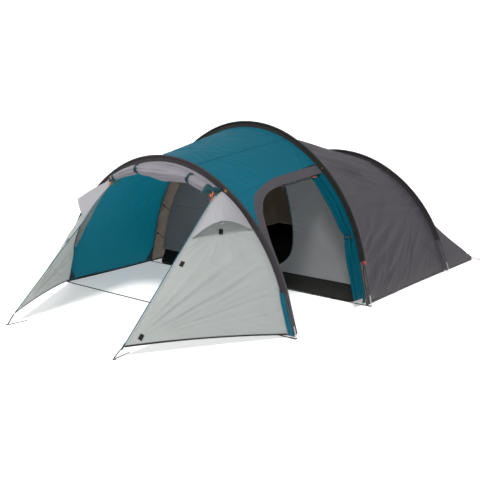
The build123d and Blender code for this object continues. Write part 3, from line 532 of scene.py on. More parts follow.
M = {}
M["teal"] = fabric("teal_cloth", "0e667c", rough=0.50, trans=0.52, tcol="00b0be", sheen=0.04, spec=0.22, big=0.08)
M["teal_dark"] = fabric("teal_tape", "03343d", rough=0.65, trans=0.0, big=0.05, weave=700, sheen=0.03, spec=0.25)
M["rim"] = fabric("rim_cloth", "454349", rough=0.6, trans=0.12, big=0.10, sheen=0.03, spec=0.25)
M["dark"] = fabric("bedroom_cloth", "48454f", rough=0.50, trans=0.42, tcol="cfc8bd", spec=0.32, big=0.08, sheen=0.03)
M["light"] = fabric("wing_cloth", "a4a8a7", rough=0.6, trans=0.50, tcol="dcdfdd", spec=0.25, big=0.12, sheen=0.04)
M["roll"] = fabric("rolled_door_cloth", "77757c", rough=0.6, trans=0.10, tcol="b4b3ba", spec=0.25, big=0.2, var=0.14, sheen=0.04)
M["bundle"] = fabric("side_door_cloth", "014858", rough=0.7, trans=0.20, tcol="008ca0", spec=0.04, big=0.10, sheen=0.0, var=0.12)
M["hood"] = fabric("hood_cloth", "a5a5aa", rough=0.6, trans=0.36, tcol="d4d4da", spec=0.25, big=0.12, sheen=0.04)
M["sleeve"] = fabric("sleeve_cloth", "2d292c", rough=0.68, trans=0.0, big=0.08, weave=650, sheen=0.02, spec=0.22)
M["sleeve2"] = fabric("sleeve_cloth_middle", "1c1d1a", rough=0.68, trans=0.0, big=0.08, weave=650, sheen=0.02, spec=0.22)
# painted light: the slight blue tint in this cloth's base and translucent colours is painted teal light cast from the
# fly above, not the inner fabric's own tone
M["inner"] = fabric("inner_cloth", "858688", rough=0.8, trans=0.45, tcol="c9ced2", spec=0.15, big=0.12, sheen=0.03)
M["inner_roof"] = fabric("inner_roof_cloth", "86847f", rough=0.8, trans=0.62, tcol="e6e3dc", spec=0.15, big=0.12, sheen=0.03)
M["tub"] = fabric("groundsheet", "0b0d0b", rough=0.55, trans=0.0, spec=0.16, weave=350, big=0.30, dirt=0.04, sheen=0.0)
M["black"] = webbing("black_webbing", "151517")
M["binding"] = webbing("black_binding", "1b1b1e", pitch=600)
M["velcro"] = fabric("touch_tape", "101012", rough=0.95, weave=480, big=0.0, spec=0.1, soft=1.0, sheen=0.4)
M["red"] = webbing("red_tab", "a3262b", pitch=500)
M["orange"] = webbing("orange_cord", "e2702a", pitch=900, rough=0.6)
M["olive"] = webbing("olive_loop", "55592c", pitch=900)
M["elastic"] = webbing("elastic_cord", "141416", pitch=1100)
M["greycord"] = webbing("grey_cord", "9a9a98", pitch=1100)
M["fibre"] = solid("fibreglass_rod", "17171a", rough=0.32, noise=30, grain=(1, 1, 1), coat=0.2)
M["steel"] = solid("zinc_steel", "b9bcbd", rough=0.34, metal=1.0, noise=140, var=0.10)
M["pegdark"] = solid("blackened_peg", "1b1b1d", rough=0.5, metal=0.3, noise=160, var=0.10, spec=0.3)
M["brass"] = solid("brass_eyelet", "c2934a", rough=0.30, metal=1.0, noise=180, var=0.12)
M["batten"] = solid("hood_batten", "a3a7a6", rough=0.5, noise=260, var=0.04, bump=0.0001)
M["plastic"] = solid("moulded_plastic", "17181a", rough=0.45, noise=260, var=0.05, bump=0.0002)
M["zinc"] = solid("painted_slider", "2a2b2e", rough=0.35, metal=0.6, noise=200)
M["zip"] = webbing("zip_coil_tape", "0b5361", pitch=330)
M["zipdark"] = webbing("zip_coil_tape_dark", "0c1213", pitch=330)


def mesh_cloth(name, col, hole=0.5, pitch=420):
    k = NT(name)
    uvn = k.add("ShaderNodeTexCoord")
    sep = k.add("ShaderNodeSeparateXYZ")
    k.link(uvn.outputs["UV"], sep.inputs[0])
    a = k.math("ABSOLUTE", k.math("SINE", k.math("MULTIPLY", sep.outputs[0], pitch * pi)))
    b = k.math("ABSOLUTE", k.math("SINE", k.math("MULTIPLY", sep.outputs[1], pitch * pi)))
    h = k.math("MULTIPLY", a, b)
    op = k.math("LESS_THAN", h, hole)
    p = k.add("ShaderNodeBsdfPrincipled")
    p.inputs["Base Color"].default_value = lin(col)
    p.inputs["Roughness"].default_value = 0.8
    k.link(op, p.inputs["Alpha"])
    k.link(p.outputs[0], k.out.inputs[0])
    return k.m


M["mesh"] = mesh_cloth("vent_mesh_cloth", "131315")

# CAD nodes that keep their own shape get their finish
KEEP = {"front_pole_sections": "fibre", "middle_pole_sections": "fibre", "rear_pole_sections": "fibre",
        "pole_ferrules": "steel", "pole_shock_cords": "elastic", "guy_eyelets": "brass", "front_foot_pins": "steel",
        "middle_foot_pins": "steel", "rear_foot_pins": "steel", "front_base_strap": "black", "middle_base_strap": "black",
        "base_strap_buckles": "plastic", "vent_prop_right": "batten", "vent_prop_left": "batten",
        "front_zip_slider_right": "zinc", "front_zip_slider_left": "zinc", "side_door_zip_slider": "zinc",
        "inner_zip_slider": "zinc", "front_zip_puller_right": "orange", "front_zip_puller_left": "orange",
        "side_door_zip_puller": "orange", "inner_zip_puller": "orange", "front_door_toggle_left": "plastic",
        "front_door_toggle_right": "plastic", "side_door_toggle": "plastic", "toggle_studs": "elastic",
        "peg_front_right": "pegdark", "peg_front_left": "pegdark", "peg_rear_right": "steel",
        "peg_rear_left": "steel", "corner_peg_loops": "black", "side_door_zip": "zipdark", "inner_door_zip": "zipdark"}
for n, m in KEEP.items():
    o = NODES[n]
    o.data.materials.clear()
    o.data.materials.append(M[m])

# -------------------------------------------------------------------- sleeves
for k, nm in ((1, "front"), (2, "middle"), (3, "rear")):
    se = s_at_z(k, PI_, SLEEVE_END_Z[k])
    ns = 360
    s = np.linspace(-se, se, ns)
    y = HOOP[k][0]
    # closed profile: (inset from the hoop's outer edge, y offset), pocket then web
    pr = []
    rp = 0.0085
    for a in np.linspace(radians(28), radians(332), 17):
        pr.append((PI_ - rp * cos(pi - a) * 1.0, rp * sin(a)))
    pr = [(PI_ + rp * cos(a), rp * sin(a)) for a in np.linspace(radians(24), radians(336), 17)]
    web = [(0.0195, -0.0022), (0.0205, -0.0014), (0.034, -0.0013), (0.050, -0.0013), (0.0562, -0.0013),
           (0.0562, 0.0013), (0.050, 0.0013), (0.034, 0.0013), (0.0205, 0.0014), (0.0195, 0.0022)]
    prof = pr + web
    r = np.random.RandomState(20 + k)
    pucker = np.convolve(r.normal(0, 1, ns), np.ones(3) / 3, "same")
    wave = sum(np.sin(s * kk + r.uniform(0, 6)) * aa for kk, aa in ((21, .5), (47, .35), (83, .25)))
    G = np.zeros((ns, len(prof), 3))
    for j, (i_, dy) in enumerate(prof):
        inw = 1 if j >= len(pr) else 0
        d = (0.0004 * pucker + 0.0006 * wave) * (1.0 if inw else 0.35)
        x, z = at_s(k, i_ if not inw else i_, s)
        G[:, j, 0], G[:, j, 2] = x, z
        G[:, j, 1] = y + dy + d
    # distance along is taken on the outer edge, so correct the spread of inner rings
    for j, (i_, dy) in enumerate(prof):
        sc = total(k, i_) / total(k, PI_)
        x, z = at_s(k, i_, s * sc)
        G[:, j, 0], G[:, j, 2] = x, z
    L = s - s[0]
    per = np.concatenate([[0], np.cumsum(np.hypot(*np.diff(np.array(prof), axis=0).T))])
    uv = np.stack(np.meshgrid(L, per, indexing="ij"), -1)
    F = gridfaces(ns, len(prof), wrap=True)
    F += [tuple(reversed(range(len(prof)))), tuple(range((ns - 1) * len(prof), ns * len(prof)))]
    o = make(f"{nm}_sleeve_cloth", G, F, M["sleeve2" if k == 2 else "sleeve"], uv=uv)
    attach(o, "tent")
    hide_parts(f"{nm}_pole_sleeve")
    # stitched seam lines on both faces of the fin
    for sd, dy in (("a", -0.0017), ("b", 0.0017)):
        for nn, ins in (("1", 0.0225), ("2", 0.0500)):
            sc = total(k, ins) / total(k, PI_)
            ss = np.linspace(-se + 0.004, se - 0.004, 300) * sc
            x, z = at_s(k, ins, ss)
            P = np.stack([x, np.full_like(x, y + dy), z], -1)
            strip(f"{nm}_sleeve_stitch_{sd}{nn}", P, (0, -1 if dy < 0 else 1, 0), 0.0022, 0.0006, M["binding"], cols=3)
    # folded hem band at each sleeve end, red on the middle hoop
    for sg, sdn in ((1, "right"), (-1, "left")):
        sa = sg * np.linspace(se - 0.002, se + (0.026 if k == 2 else 0.012), 5)
        pr2 = [(a if a > 0.0195 else PI_ + (a - PI_) * 1.13, b * 1.25) for a, b in prof]
        G2 = np.zeros((5, len(pr2), 3))
        for j, (i_, dy) in enumerate(pr2):
            sc = total(k, i_) / total(k, PI_)
            x, z = at_s(k, min(i_, 0.056), sa * sc)
            G2[:, j, 0], G2[:, j, 2], G2[:, j, 1] = x, z, y + dy
        if k == 2:   # the red tab is only round the pocket
            idx = list(range(len(pr))) + [len(pr), len(pr2) - 1]
            G2 = G2[:, idx]
        F = gridfaces(5, G2.shape[1], wrap=True, flip=sg < 0)
        o = make(f"{nm}_sleeve_end_{sdn}", G2, F, M["red"] if k == 2 else M["binding"])
        solidify(o, 0.0010, 0.0)
        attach(o, "tent")

# ---------------------------------------------------------------- porch panel
RIM_OUT = [(0.992, 0.6935), (0.80, 0.6905), (0.65, 0.6880), (0.50, 0.6868), (0.36, 0.6935), (0.227, 0.7070),
           (0.144, 0.7320), (0.10, 0.7540), (0.068, 0.7750), (0.040, 0.8100), (0.018, 0.8600), (0.012, 0.93), (0.012, 0.9970)]
RIM_IN = [(0.992, 0.7130), (0.84, 0.7100), (0.68, 0.7075), (0.52, 0.7060), (0.40, 0.7080), (0.305, 0.7155),
          (0.224, 0.7320), (0.164, 0.7540), (0.119, 0.7830), (0.086, 0.8150), (0.074, 0.8550), (0.074, 0.93), (0.074, 0.9970)]
fA = field(3, lo=0.6, hi=3.0)
fB = field(5, lo=5, hi=16)


def pucker_from(d, along, seed, lam=0.045, reach=0.10, amp=0.0022):
    """Small gathers that start at a seam and die out; d is distance from it."""
    r = np.random.RandomState(seed)
    s = 0
    for i in range(5):
        kk = 2 * pi / (lam * r.uniform(0.7, 1.6))
        s = s + np.sin(along * kk + r.uniform(0, 6) + d * r.uniform(-6, 6)) * r.uniform(0.4, 1)
    return amp * s / 2.2 * np.exp(-d / reach) * np.minimum(1, d / 0.012)


nt, nw = 300, 120
t = np.concatenate([np.linspace(0.004, 0.6880, nt)])
w = np.linspace(0.0015, 1.0, nw)
W, T = np.meshgrid(w, t)
G = vest(W, T)
N = normals(G)
if N[nt // 2, nw // 2, 2] < 0:
    N = -N
Lh = 2 * total(1, FI)
dF, dB = W * 1.1044, (1 - W) * 1.1044
S_ = T * Lh
D = pucker_from(dF, S_, 11, amp=0.0030, lam=0.032, reach=0.07) + pucker_from(dB, S_, 12, amp=0.0024, lam=0.05, reach=0.09)
D += 0.0035 * fA(W * 1.1, S_) * np.minimum(1, np.minimum(dF, dB) / 0.15)
D += 1.7 * creases(W * 1.104, S_, 421, 46, (0.08, 1.02, 0.2, 2.75), lambda a_, b_, r_: r_.uniform(0.9, 2.2), wid=(0.014, 0.034),
                   length=(0.12, 0.34)) * np.minimum(1, np.minimum(dF, dB) / 0.06)
D += rays(W * 1.104, S_, 0.0, 1.30, -0.8, 0.8, 7, 422, amp=0.0035, reach=0.40, wid=0.05) * np.minimum(1, dF / 0.05)
D += rays(W * 1.104, S_, 1.104, 1.62, 2.3, 3.9, 9, 423, amp=0.0035, reach=0.45, wid=0.05) * np.minimum(1, dB / 0.05)
D *= 1 - (1 - np.clip((0.688 - T) * Lh / 0.06, 0, 1)) * np.clip((0.64 - W) / 0.10, 0, 1)
for ts_ in (0.5640 + 0.0360 * W, 0.4360 - 0.0360 * W):      # the seams pull the cloth straight
    D *= 1 - 0.93 * np.exp(-((T - ts_) * Lh / 0.040) ** 2)
D += 0.0009 * fB(W * 1.1, S_) * np.minimum(1, np.minimum(dF, dB) / 0.05)
G = G + N * D[..., None]
PG, PN, PT = G, N, t


def on_porch(w_, t_):
    """Point and normal of the porch panel as sewn, creases included."""
    a_ = np.interp(t_, PT, np.arange(len(PT)))
    b_ = np.interp(w_, np.linspace(0.0015, 1.0, PG.shape[1]), np.arange(PG.shape[1]))
    i0 = np.clip(a_.astype(int), 0, len(PT) - 2)
    j0 = np.clip(b_.astype(int), 0, PG.shape[1] - 2)
    fa_, fb_ = (a_ - i0)[:, None], (b_ - j0)[:, None]
    g_ = lambda A: (A[i0, j0] * (1 - fa_) * (1 - fb_) + A[i0 + 1, j0] * fa_ * (1 - fb_) + A[i0, j0 + 1] * (1 - fa_) * fb_ +
                    A[i0 + 1, j0 + 1] * fa_ * fb_)
    return g_(PG), g_(PN)


# keep what lies outside the doorway's rim
ro = spline(RIM_OUT, 200)
o = cloth("porch_panel", G, M["teal"], node="vestibule_fly", flip=False)
# strip down the front hoop
t2 = np.linspace(0.6880, 0.905, 70)
order = np.argsort(ro[:, 1])
rw = np.interp(t2, ro[order, 1], ro[order, 0])
rw = np.where(t2 < 0.700, np.interp(t2, [0.6875, 0.700], [0.52, float(np.interp(0.700, ro[80:, 1], ro[80:, 0]))]), rw)
G2 = np.stack([vest(0.0015 + (rw + 0.004 - 0.0015) * f, t2) for f in np.linspace(0, 1, 16)], 1)
cloth("porch_panel_strip", G2, M["teal"], declare=True)

# gathered rim of the side doorway
ns, nq = 900, 15
O_, I_ = spline(RIM_OUT, ns), spline(RIM_IN, ns)
q = np.linspace(-0.10, 1.0, nq)
WQ = O_[:, None, 0] * (1 - q) + I_[:, None, 0] * q
TQ = O_[:, None, 1] * (1 - q) + I_[:, None, 1] * q
WQ = np.clip(WQ, 0.004, 0.997)
G = vest(WQ, TQ)
N = normals(G)
if N[130, 7, 0] < 0:
    N = -N
mid = G[:, nq // 2]
al = np.concatenate([[0], np.cumsum(np.linalg.norm(np.diff(mid, axis=0), axis=1))])
r = np.random.RandomState(31)
env = 0.35 + 0.65 * np.clip((al - 0.55) / 0.25, 0, 1)
wv = sum(np.sin(al * 2 * pi / l_ + r.uniform(0, 6))[:, None] * a_ for l_, a_ in ((0.017, .6), (0.026, .8), (0.041, .6)))
ph_ = al[:, None] * 2 * pi / 0.030 + q[None] * 2.8 + 0.7 * np.sin(al[:, None] * 11)
slant = 0.5 - 1.9 * np.exp(-(np.sin(ph_ / 2) / 0.24) ** 2) * (0.75 + 0.25 * np.sin(al[:, None] * 37))
D = 0.0029 + 0.0018 * env[:, None] * (wv * 0.5 + slant) * np.sin(pi * np.clip(q, 0, 1)[None]) ** 0.6
G = G + N * D[..., None]
cloth("side_door_rim_cloth", G, M["rim"], node="side_door_rim", flip=True)
E_ = G[:, -1] - N[:, -1] * 0.001
tube("side_door_rim_edge", E_, 0.0032, M["rim"], n=8)

# roof seams, a flat-felled strip with two rows of stitches
for tag, tt0, tt1 in (("right", 0.5640, 0.6000), ("left", 0.4360, 0.4000)):
    ww = np.linspace(0.002, 0.998, 160)
    tt = tt0 + (tt1 - tt0) * ww
    P, Nn = on_porch(ww, tt)
    Nn = Nn / np.linalg.norm(Nn, axis=1, keepdims=True)
    Nn = Nn * np.sign(Nn[:, 2:3])
    dW = np.gradient(P, axis=0)
    strip(f"porch_roof_seam_{tag}", P + Nn * 0.0016, Nn, 0.011, 0.0012, M["teal"], crown=0.0008)
    for q_ in (-0.0036, 0.0036):
        side = np.cross(dW / np.linalg.norm(dW, axis=1, keepdims=True), Nn)
        strip(f"porch_roof_stitch_{tag}_{'a' if q_ < 0 else 'b'}", P + Nn * 0.0028 + side * q_, Nn, 0.0014, 0.0006, M["teal"],
              cols=3)

# --------------------------------------------------------------- bedroom panel
nt, nw = 340, 150
t = np.linspace(0.003, 0.997, nt)
w = np.linspace(0.0, 0.999, nw)
W, T = np.meshgrid(w, t)
G = rear(W, T)
N = normals(G)
if N[nt // 2, nw // 2, 2] < 0:
    N = -N
u, v = W * 1.552, T * 2 * total(2, FI)
D = pucker_from(u, v, 41, amp=0.0028, lam=0.05, reach=0.10) + pucker_from(1.552 - u, v, 42, amp=0.0026, lam=0.06, reach=0.10)
fC = field(43, lo=0.5, hi=2.4)
edge = np.minimum(1, np.minimum(u, 1.552 - u) / 0.2)
D += 0.0055 * fC(u, v) * edge
vr = v[-1, 0] - v      # height up the right side


def slope(a, b, r):
    if b > 1.15:
        return r.uniform(-0.32, -0.02)
    if b > 0.75:
        return r.uniform(-0.25, 0.55)
    return r.uniform(0.30, 0.95)


D += 2.8 * creases(u, vr, 401, 60, (0.05, 1.5, 0.05, 1.85), slope)
D += creases(u, vr, 402, 30, (0.10, 1.45, 0.10, 1.75), slope, wid=(0.030, 0.055), length=(0.20, 0.45), amp=(0.0045, 0.009))
D += 2.8 * creases(u, v, 403, 60, (0.05, 1.5, 0.05, 1.85), slope)
D += creases(u, v, 404, 30, (0.10, 1.45, 0.10, 1.75), slope, wid=(0.030, 0.055), length=(0.20, 0.45), amp=(0.0045, 0.009))
for vv_, sd_ in ((vr, 405), (v, 406)):
    D += rays(u, vv_, 0.0, 0.02, 0.45, 1.35, 7, sd_, amp=0.0046, reach=0.6, wid=0.05)
    D += rays(u, vv_, 1.56, 0.05, 1.75, 2.8, 8, sd_ + 10, amp=0.0046, reach=0.6, wid=0.05)
D *= np.minimum(1, np.minimum(u, 1.552 - u) / 0.02)
G = G + N * D[..., None]
cloth("bedroom_panel", G, M["dark"], node="rear_fly")


def tail_ground(t, x, y, z, foot, t1=0.85):
    t = np.asarray(t, float)
    sg = np.where(t >= 0.5, 1.0, -1.0)
    q = np.abs(2 * t - 1)
    q1 = 2 * t1 - 1
    u = np.clip((q - q1) / (1 - q1), 0, 1)
    px = np.where(q > q1, x * (1 - u) + foot[0] * u, x * q / q1)
    py = np.where(q > q1, y * (1 - u) + foot[1] * u, y - 0.02 * (1 - (q / q1) ** 2))
    pz = np.where(q > q1, z * (1 - u) + foot[2] * u, z)
    return np.stack([sg * px, py, pz], -1)


ts_ = np.concatenate([np.linspace(0.003, 0.15, 60)[:-1], np.linspace(0.15, 0.85, 200), np.linspace(0.85, 0.997, 60)[1:]])
fx, fz = sec(3, FI, 0.997)
hx, hz = sec(3, FI, ts_)
H = np.stack([hx, np.full_like(hx, HOOP[3][0] + 0.0015), hz], -1)
Gd = tail_ground(ts_, CORNER[0], CORNER[1], CORNER[2], [abs(float(fx)), HOOP[3][0] + 0.024, 0.012])
f = np.linspace(0, 1, 80)[None, :, None]
G = H[:, None] * (1 - f) + Gd[:, None] * f
N = normals(G)
if N[len(ts_) // 2, 30, 1] < 0:
    N = -N
u = f[..., 0] * np.linalg.norm(Gd - H, axis=1)[:, None]
v = np.broadcast_to(ts_[:, None] * 3.6, u.shape)
fD = field(47, lo=0.7, hi=3.0)
D = -0.018 * 4 * f[..., 0] * (1 - f[..., 0]) * np.sin(pi * np.clip((ts_ - 0.15) / 0.70, 0, 1))[:, None] ** 0.5
D = D + pucker_from(u, v, 48, amp=0.0026, lam=0.05, reach=0.09) * np.minimum(1, (np.linalg.norm(Gd - H, axis=1)[:, None]) / 0.3)
D = D + 0.004 * fD(u, v) * (np.sin(pi * f[..., 0]) ** 0.7) * np.minimum(1, (np.linalg.norm(Gd - H, axis=1)[:, None]) / 0.3)
hx3, hz3 = G[..., 0].copy(), G[..., 2].copy()
inside = np.minimum(1, f[..., 0] / 0.10) * np.minimum(1, (1 - f[..., 0]) / 0.06) * np.minimum(1, (np.linalg.norm(Gd - H, axis=1)[:, None]) / 0.3)
D = D + rays(hx3, hz3, CORNER[0], 0.0, 1.75, 3.05, 13, 490, amp=0.0085, reach=0.75, wid=0.040) * inside
D = D + rays(hx3, hz3, -CORNER[0], 0.0, 0.09, 1.39, 13, 491, amp=0.0085, reach=0.75, wid=0.040) * inside
D = D + rays(hx3, hz3, 0.0, 1.26, -2.7, -0.45, 11, 492, amp=0.0050, reach=0.60, wid=0.045) * inside
D = D + 2.2 * creases(hx3, hz3, 493, 34, (-0.95, 0.95, 0.10, 1.05), lambda a_, b_, r_: r_.uniform(-0.7, 0.7) - 0.6 * a_,
                      wid=(0.018, 0.040)) * inside
G = G + N * D[..., None]
cloth("tail_panel", G, M["dark"], node="rear_end_panel")

# gussets beside the feet
for sg, sdn in ((1, "right"), (-1, "left")):
    for k, nm, mt, sl, dy in ((1, "front", "teal", "fabric_teal", -0.0010), (3, "rear", "dark", "fabric_dark_grey", 0.0)):
        z = np.linspace(SLEEVE_END_Z[k] + 0.004, 0.016, 40)
        q = np.linspace(0, 1, 8)
        i_out = 0.020 + 0.004 * np.sin(z * 9)
        rows = []
        for zz, io in zip(z, i_out):
            row = []
            for qq in q:
                ins = io + (FI + (0.024 if k == 1 else 0.001) - io) * qq
                x, z2 = sec(k, ins, t_at_z(k, ins, zz))
                row.append((sg * float(x), HOOP[k][0] + dy + 0.002 * sin(qq * pi) * sin(zz * 23), float(z2)))
            rows.append(row)
        cloth(f"{nm}_leg_gusset_{sdn}", np.array(rows), M[mt], declare=True,
              node="front_leg_gussets" if k == 1 else None)

# --------------------------------------------------------------------- wings
zu = (TIP - TOP) / np.linalg.norm(TIP - TOP)
ZL = float(np.linalg.norm(TIP - TOP))
T0, T1 = t_at_z(1, FI, 1.035), t_at_z(1, FI, 0.030)
f1 = sec(1, FI, T1)
wn = np.cross(TIP - TOP, np.array([float(f1[0]), 0, float(f1[1])]) - TOP)
wn /= np.linalg.norm(wn)
zb = np.cross(zu, wn)
if zb[0] < 0:
    zb = -zb


def wing(s, c, off=0.0, edge=0.017):
    s, c = np.broadcast_arrays(np.asarray(s, float), np.asarray(c, float))
    a = TOP + zu * ZL * (0.012 + 0.976 * s[..., None]) + zb * edge
    x, z = sec(1, FI, T0 + (T1 - T0) * s)
    low = np.clip((0.40 - z) / 0.14, 0, 1)
    x, z = sec(1, FI + 0.020 * low * low * (3 - 2 * low), T0 + (T1 - T0) * s)
    b = np.stack([x, np.full_like(x, -0.004), z], -1)
    p = a * (1 - c[..., None]) + b * c[..., None]
    bulge = 0.030 * 4 * c * (1 - c) * np.sin(pi * np.minimum(1, 0.15 + 0.85 * s)) * 0.8
    lift = 0.020 * 4 * c * (1 - c) * np.maximum(0.0, (s - 0.86) / 0.14)
    p = p + wn * (bulge + off)[..., None]
    p[..., 2] += lift
    return p


H_ZIP, H_APEX, H_HOOP = np.array([0.604, -0.345, 0.716]), np.array([0.807, -0.231, 0.862]), np.array([0.912, -0.006, 0.765])


def hood_edge(c):
    c = np.asarray(c, float)[..., None]
    return H_ZIP * (1 - c) + H_HOOP * c + (H_APEX - (H_ZIP + H_HOOP) / 2) * np.sin(pi * c) ** 0.9


def mirror(G, sg):
    G = np.array(G, float)
    G[..., 0] *= sg
    return G


for sg, sdn in ((1, "right"), (-1, "left")):
    ns, nc = 170, 110
    s = np.linspace(0, 1, ns)[:, None]
    c = np.linspace(0, 1, nc)[None]
    G = wing(s, c)
    N = normals(G)
    if (N[80, 50] @ wn) < 0:
        N = -N
    # distances in the panel for its creases
    U = c * (0.09 + 0.62 * s)
    Vv = s * 1.30
    fE, fG = field(60 + (sg > 0), lo=0.6, hi=2.5), field(62 + (sg > 0), lo=4, hi=12)
    ed = np.minimum(1, np.minimum(c, 1 - c) * 8) * np.minimum(1, (1 - s) * 8)
    D = 0.0045 * fE(U, Vv) * ed + 0.0008 * fG(U, Vv) * ed
    # tension creases fan out from the tip, from under the hood and from the hoop's foot
    wid_s = 0.09 + 0.62 * s
    X, Y = c * wid_s, (1 - s) * 1.39
    D = D + rays(X, Y, -0.01, -0.01, 0.06, 1.50, 17, 610 + sg, amp=0.0075, reach=0.75, wid=0.030) * ed
    D = D + rays(X, Y, 0.13, 1.02, -2.75, -0.9, 13, 620 + sg, amp=0.0070, reach=0.50, wid=0.050) * ed * (s > 0.2)
    D = D + rays(X, Y, 0.72, -0.02, 1.7, 2.9, 9, 630 + sg, amp=0.0055, reach=0.45, wid=0.045) * ed
    D = D + creases(X, Y, 640 + sg, 16, (0.05, 0.6, 0.1, 0.9), lambda a, b, r: r.uniform(0.9, 2.0), amp=(0.0018, 0.0036)) * ed
    D += pucker_from((1 - c) * (0.09 + 0.62 * s), Vv, 66, amp=0.0022, lam=0.05, reach=0.06)
    # the vent prop folds down onto this part of the wing, so it is kept taut and low
    taut = np.exp(-((s - 0.27) / 0.11) ** 2 - ((c - 0.49) / 0.20) ** 2)
    D = D * (1 - 0.85 * taut) - 0.003 * taut
    G = G + N * D[..., None]
    keep = ~((s > 0.105) & (s < 0.195) & (c > 0.205) & (c < 0.795))
    G = mirror(G, sg)
    cloth(f"wing_{sdn}", G, M["light"], node=f"front_wing_{sdn}", flip=sg < 0, keep=keep,
          flat=(1.40, 0.95), area=0.825)
    # mesh vent behind the hood
    sm = np.linspace(0.100, 0.200, 16)[:, None]
    cm = np.linspace(0.19, 0.81, 30)[None]
    cloth(f"vent_mesh_cloth_{sdn}", mirror(wing(sm, cm, -0.0012), sg), M["mesh"], th=0.0005, node=f"vent_mesh_{sdn}",
          flip=sg < 0)
    # hood
    cs = np.linspace(0, 1, 60)
    ses, Ds = [], []
    qs = np.linspace(0.15, 0.45, 151)
    for cc in cs:
        e = hood_edge(cc)
        pw = wing(qs, cc)
        i = int(np.argmin(np.linalg.norm(pw - e, axis=1)))
        d = e - pw[i] - wn * 0.007
        d = d - wn * min(0.0, float(d @ wn))
        ses.append(qs[i])
        Ds.append(d)
    ses = np.convolve(np.pad(ses, 4, "edge"), np.ones(9) / 9, "valid")
    Ds = np.array(Ds)
    Ds = np.stack([np.convolve(np.pad(Ds[:, i], 3, "edge"), np.ones(7) / 7, "valid") for i in range(3)], -1)
    fr = np.linspace(0, 1, 46)
    G = np.zeros((46, 60, 3))
    for i, ff in enumerate(fr):
        G[i] = wing(0.012 + (ses - 0.012) * ff, cs, 0.006 + 0.010 * sin(pi * ff)) + Ds * ff ** 1.3
    N = normals(G)
    if (N[20, 30] @ wn) < 0:
        N = -N
    cc, ff = cs[None], fr[:, None]
    D = rays((cc - 0.5) * (0.05 + 0.35 * ff), -ff * 0.4, 0.0, 0.02, -2.3, -0.84, 9, 650 + sg, amp=0.0050, reach=0.4, wid=0.05) * np.sin(pi * cc)
    D += 0.0012 * np.sin((cc - 0.5) * 15 / (0.25 + ff)) * np.sin(pi * cc) * np.exp(-ff / 0.9) * np.minimum(1, ff * 4) * 0.8
    D += 0.0022 * field(70 + sg, lo=1.5, hi=6)(cc * 0.3, ff * 0.35) * np.sin(pi * cc)
    D += 0.003 * np.exp(-((cc - 0.5) / 0.05) ** 2) * ff ** 3
    G = G + N * D[..., None]
    hood = cloth(f"hood_{sdn}", mirror(G, sg), M["hood"], node=f"vent_hood_{sdn}", flip=sg < 0)
    he_ = tube(f"hood_edge_{sdn}", mirror(G[-1] - N[-1] * 0.0006, sg), 0.0030, M["light"], n=8)
    high = wing(np.linspace(0.0, 0.45, 40)[:, None], np.linspace(0, 1, 40)[None]).reshape(-1, 3)
    high = high[int(np.argmax(high @ wn))] + wn * 0.004
    ax_w, an_w = mirror(wn, sg), mirror(high, sg) - np.array([0, YO, 0])
    for o_ in (hood, he_):
        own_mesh(o_)
    # touch-tape tabs
    for i, (s0, c0) in enumerate(((0.302, 0.485), (0.485, 0.078), (0.955, 0.060))):
        p = wing(s0, c0)
        uu = wing(s0 + 0.02, c0) - wing(s0 - 0.02, c0)
        uu /= np.linalg.norm(uu)
        ee = wing(s0, c0 + 0.03) - wing(s0, c0 - 0.03)
        nn = np.cross(uu, ee)
        nn = nn / np.linalg.norm(nn) * (1 if nn @ wn > 0 else -1)
        P = np.array([p + uu * a_ + nn * 0.0075 for a_ in np.linspace(-0.022, 0.022, 6)])
        strip(f"touch_tape_{sdn}_{i + 1}", mirror(P, sg), mirror(nn, sg), 0.030, 0.0024, M["velcro"],
              node="wing_velcro_tabs")
    # hem binding
    cq = np.linspace(0.0, 1.0, 60)
    P = wing(1.0, cq)
    dd = P - wing(0.985, cq)
    P = P + dd / np.linalg.norm(dd, axis=1, keepdims=True) * 0.0045
    P = np.vstack([P[0] - (P[1] - P[0]) / np.linalg.norm(P[1] - P[0]) * 0.012, P])      # on to the tip
    strip(f"wing_hem_{sdn}", mirror(P, sg), mirror(wn, sg), 0.013, 0.0036, M["binding"], node="wing_hem_bindings")
    # zip: tape, coil and a teal piping on the wing's front edge
    a_, b_ = TOP + zu * 0.004, TOP + zu * (ZL - 0.008)
    P = a_ + (b_ - a_) * np.linspace(0, 1, 90)[:, None]
    strip(f"zip_tape_{sdn}", mirror(P + zb * 0.0105, sg), mirror(wn, sg), 0.015, 0.0012, M["light"],
          node=f"front_zip_{sdn}")
    tube(f"zip_coil_{sdn}", mirror(P, sg), 0.0034, M["zip"], n=8)


# edge band of each wing, which hangs a hand's width inside the hoop
for sg, sdn in ((1, "right"), (-1, "left")):
    zz_ = np.linspace(1.000, 0.300, 60)
    wd_ = 0.066 * np.sin(pi * np.clip((1.000 - zz_) / 0.700, 0, 1)) ** 0.75 + 0.006
    g_ = np.zeros((60, 9, 3))
    for i_, z_ in enumerate(zz_):
        for j_ in range(9):
            ins = FI - 0.004 + wd_[i_] * j_ / 8
            x_, z2_ = sec(1, ins, t_at_z(1, ins, z_))
            g_[i_, j_] = (sg * float(x_), 0.004 + 0.004 * sin(j_ / 8 * pi) + 0.002 * sin(z_ * 31) * j_ / 8, float(z2_))
    cloth(f"wing_edge_band_{sdn}", g_, M["light"], declare=True)

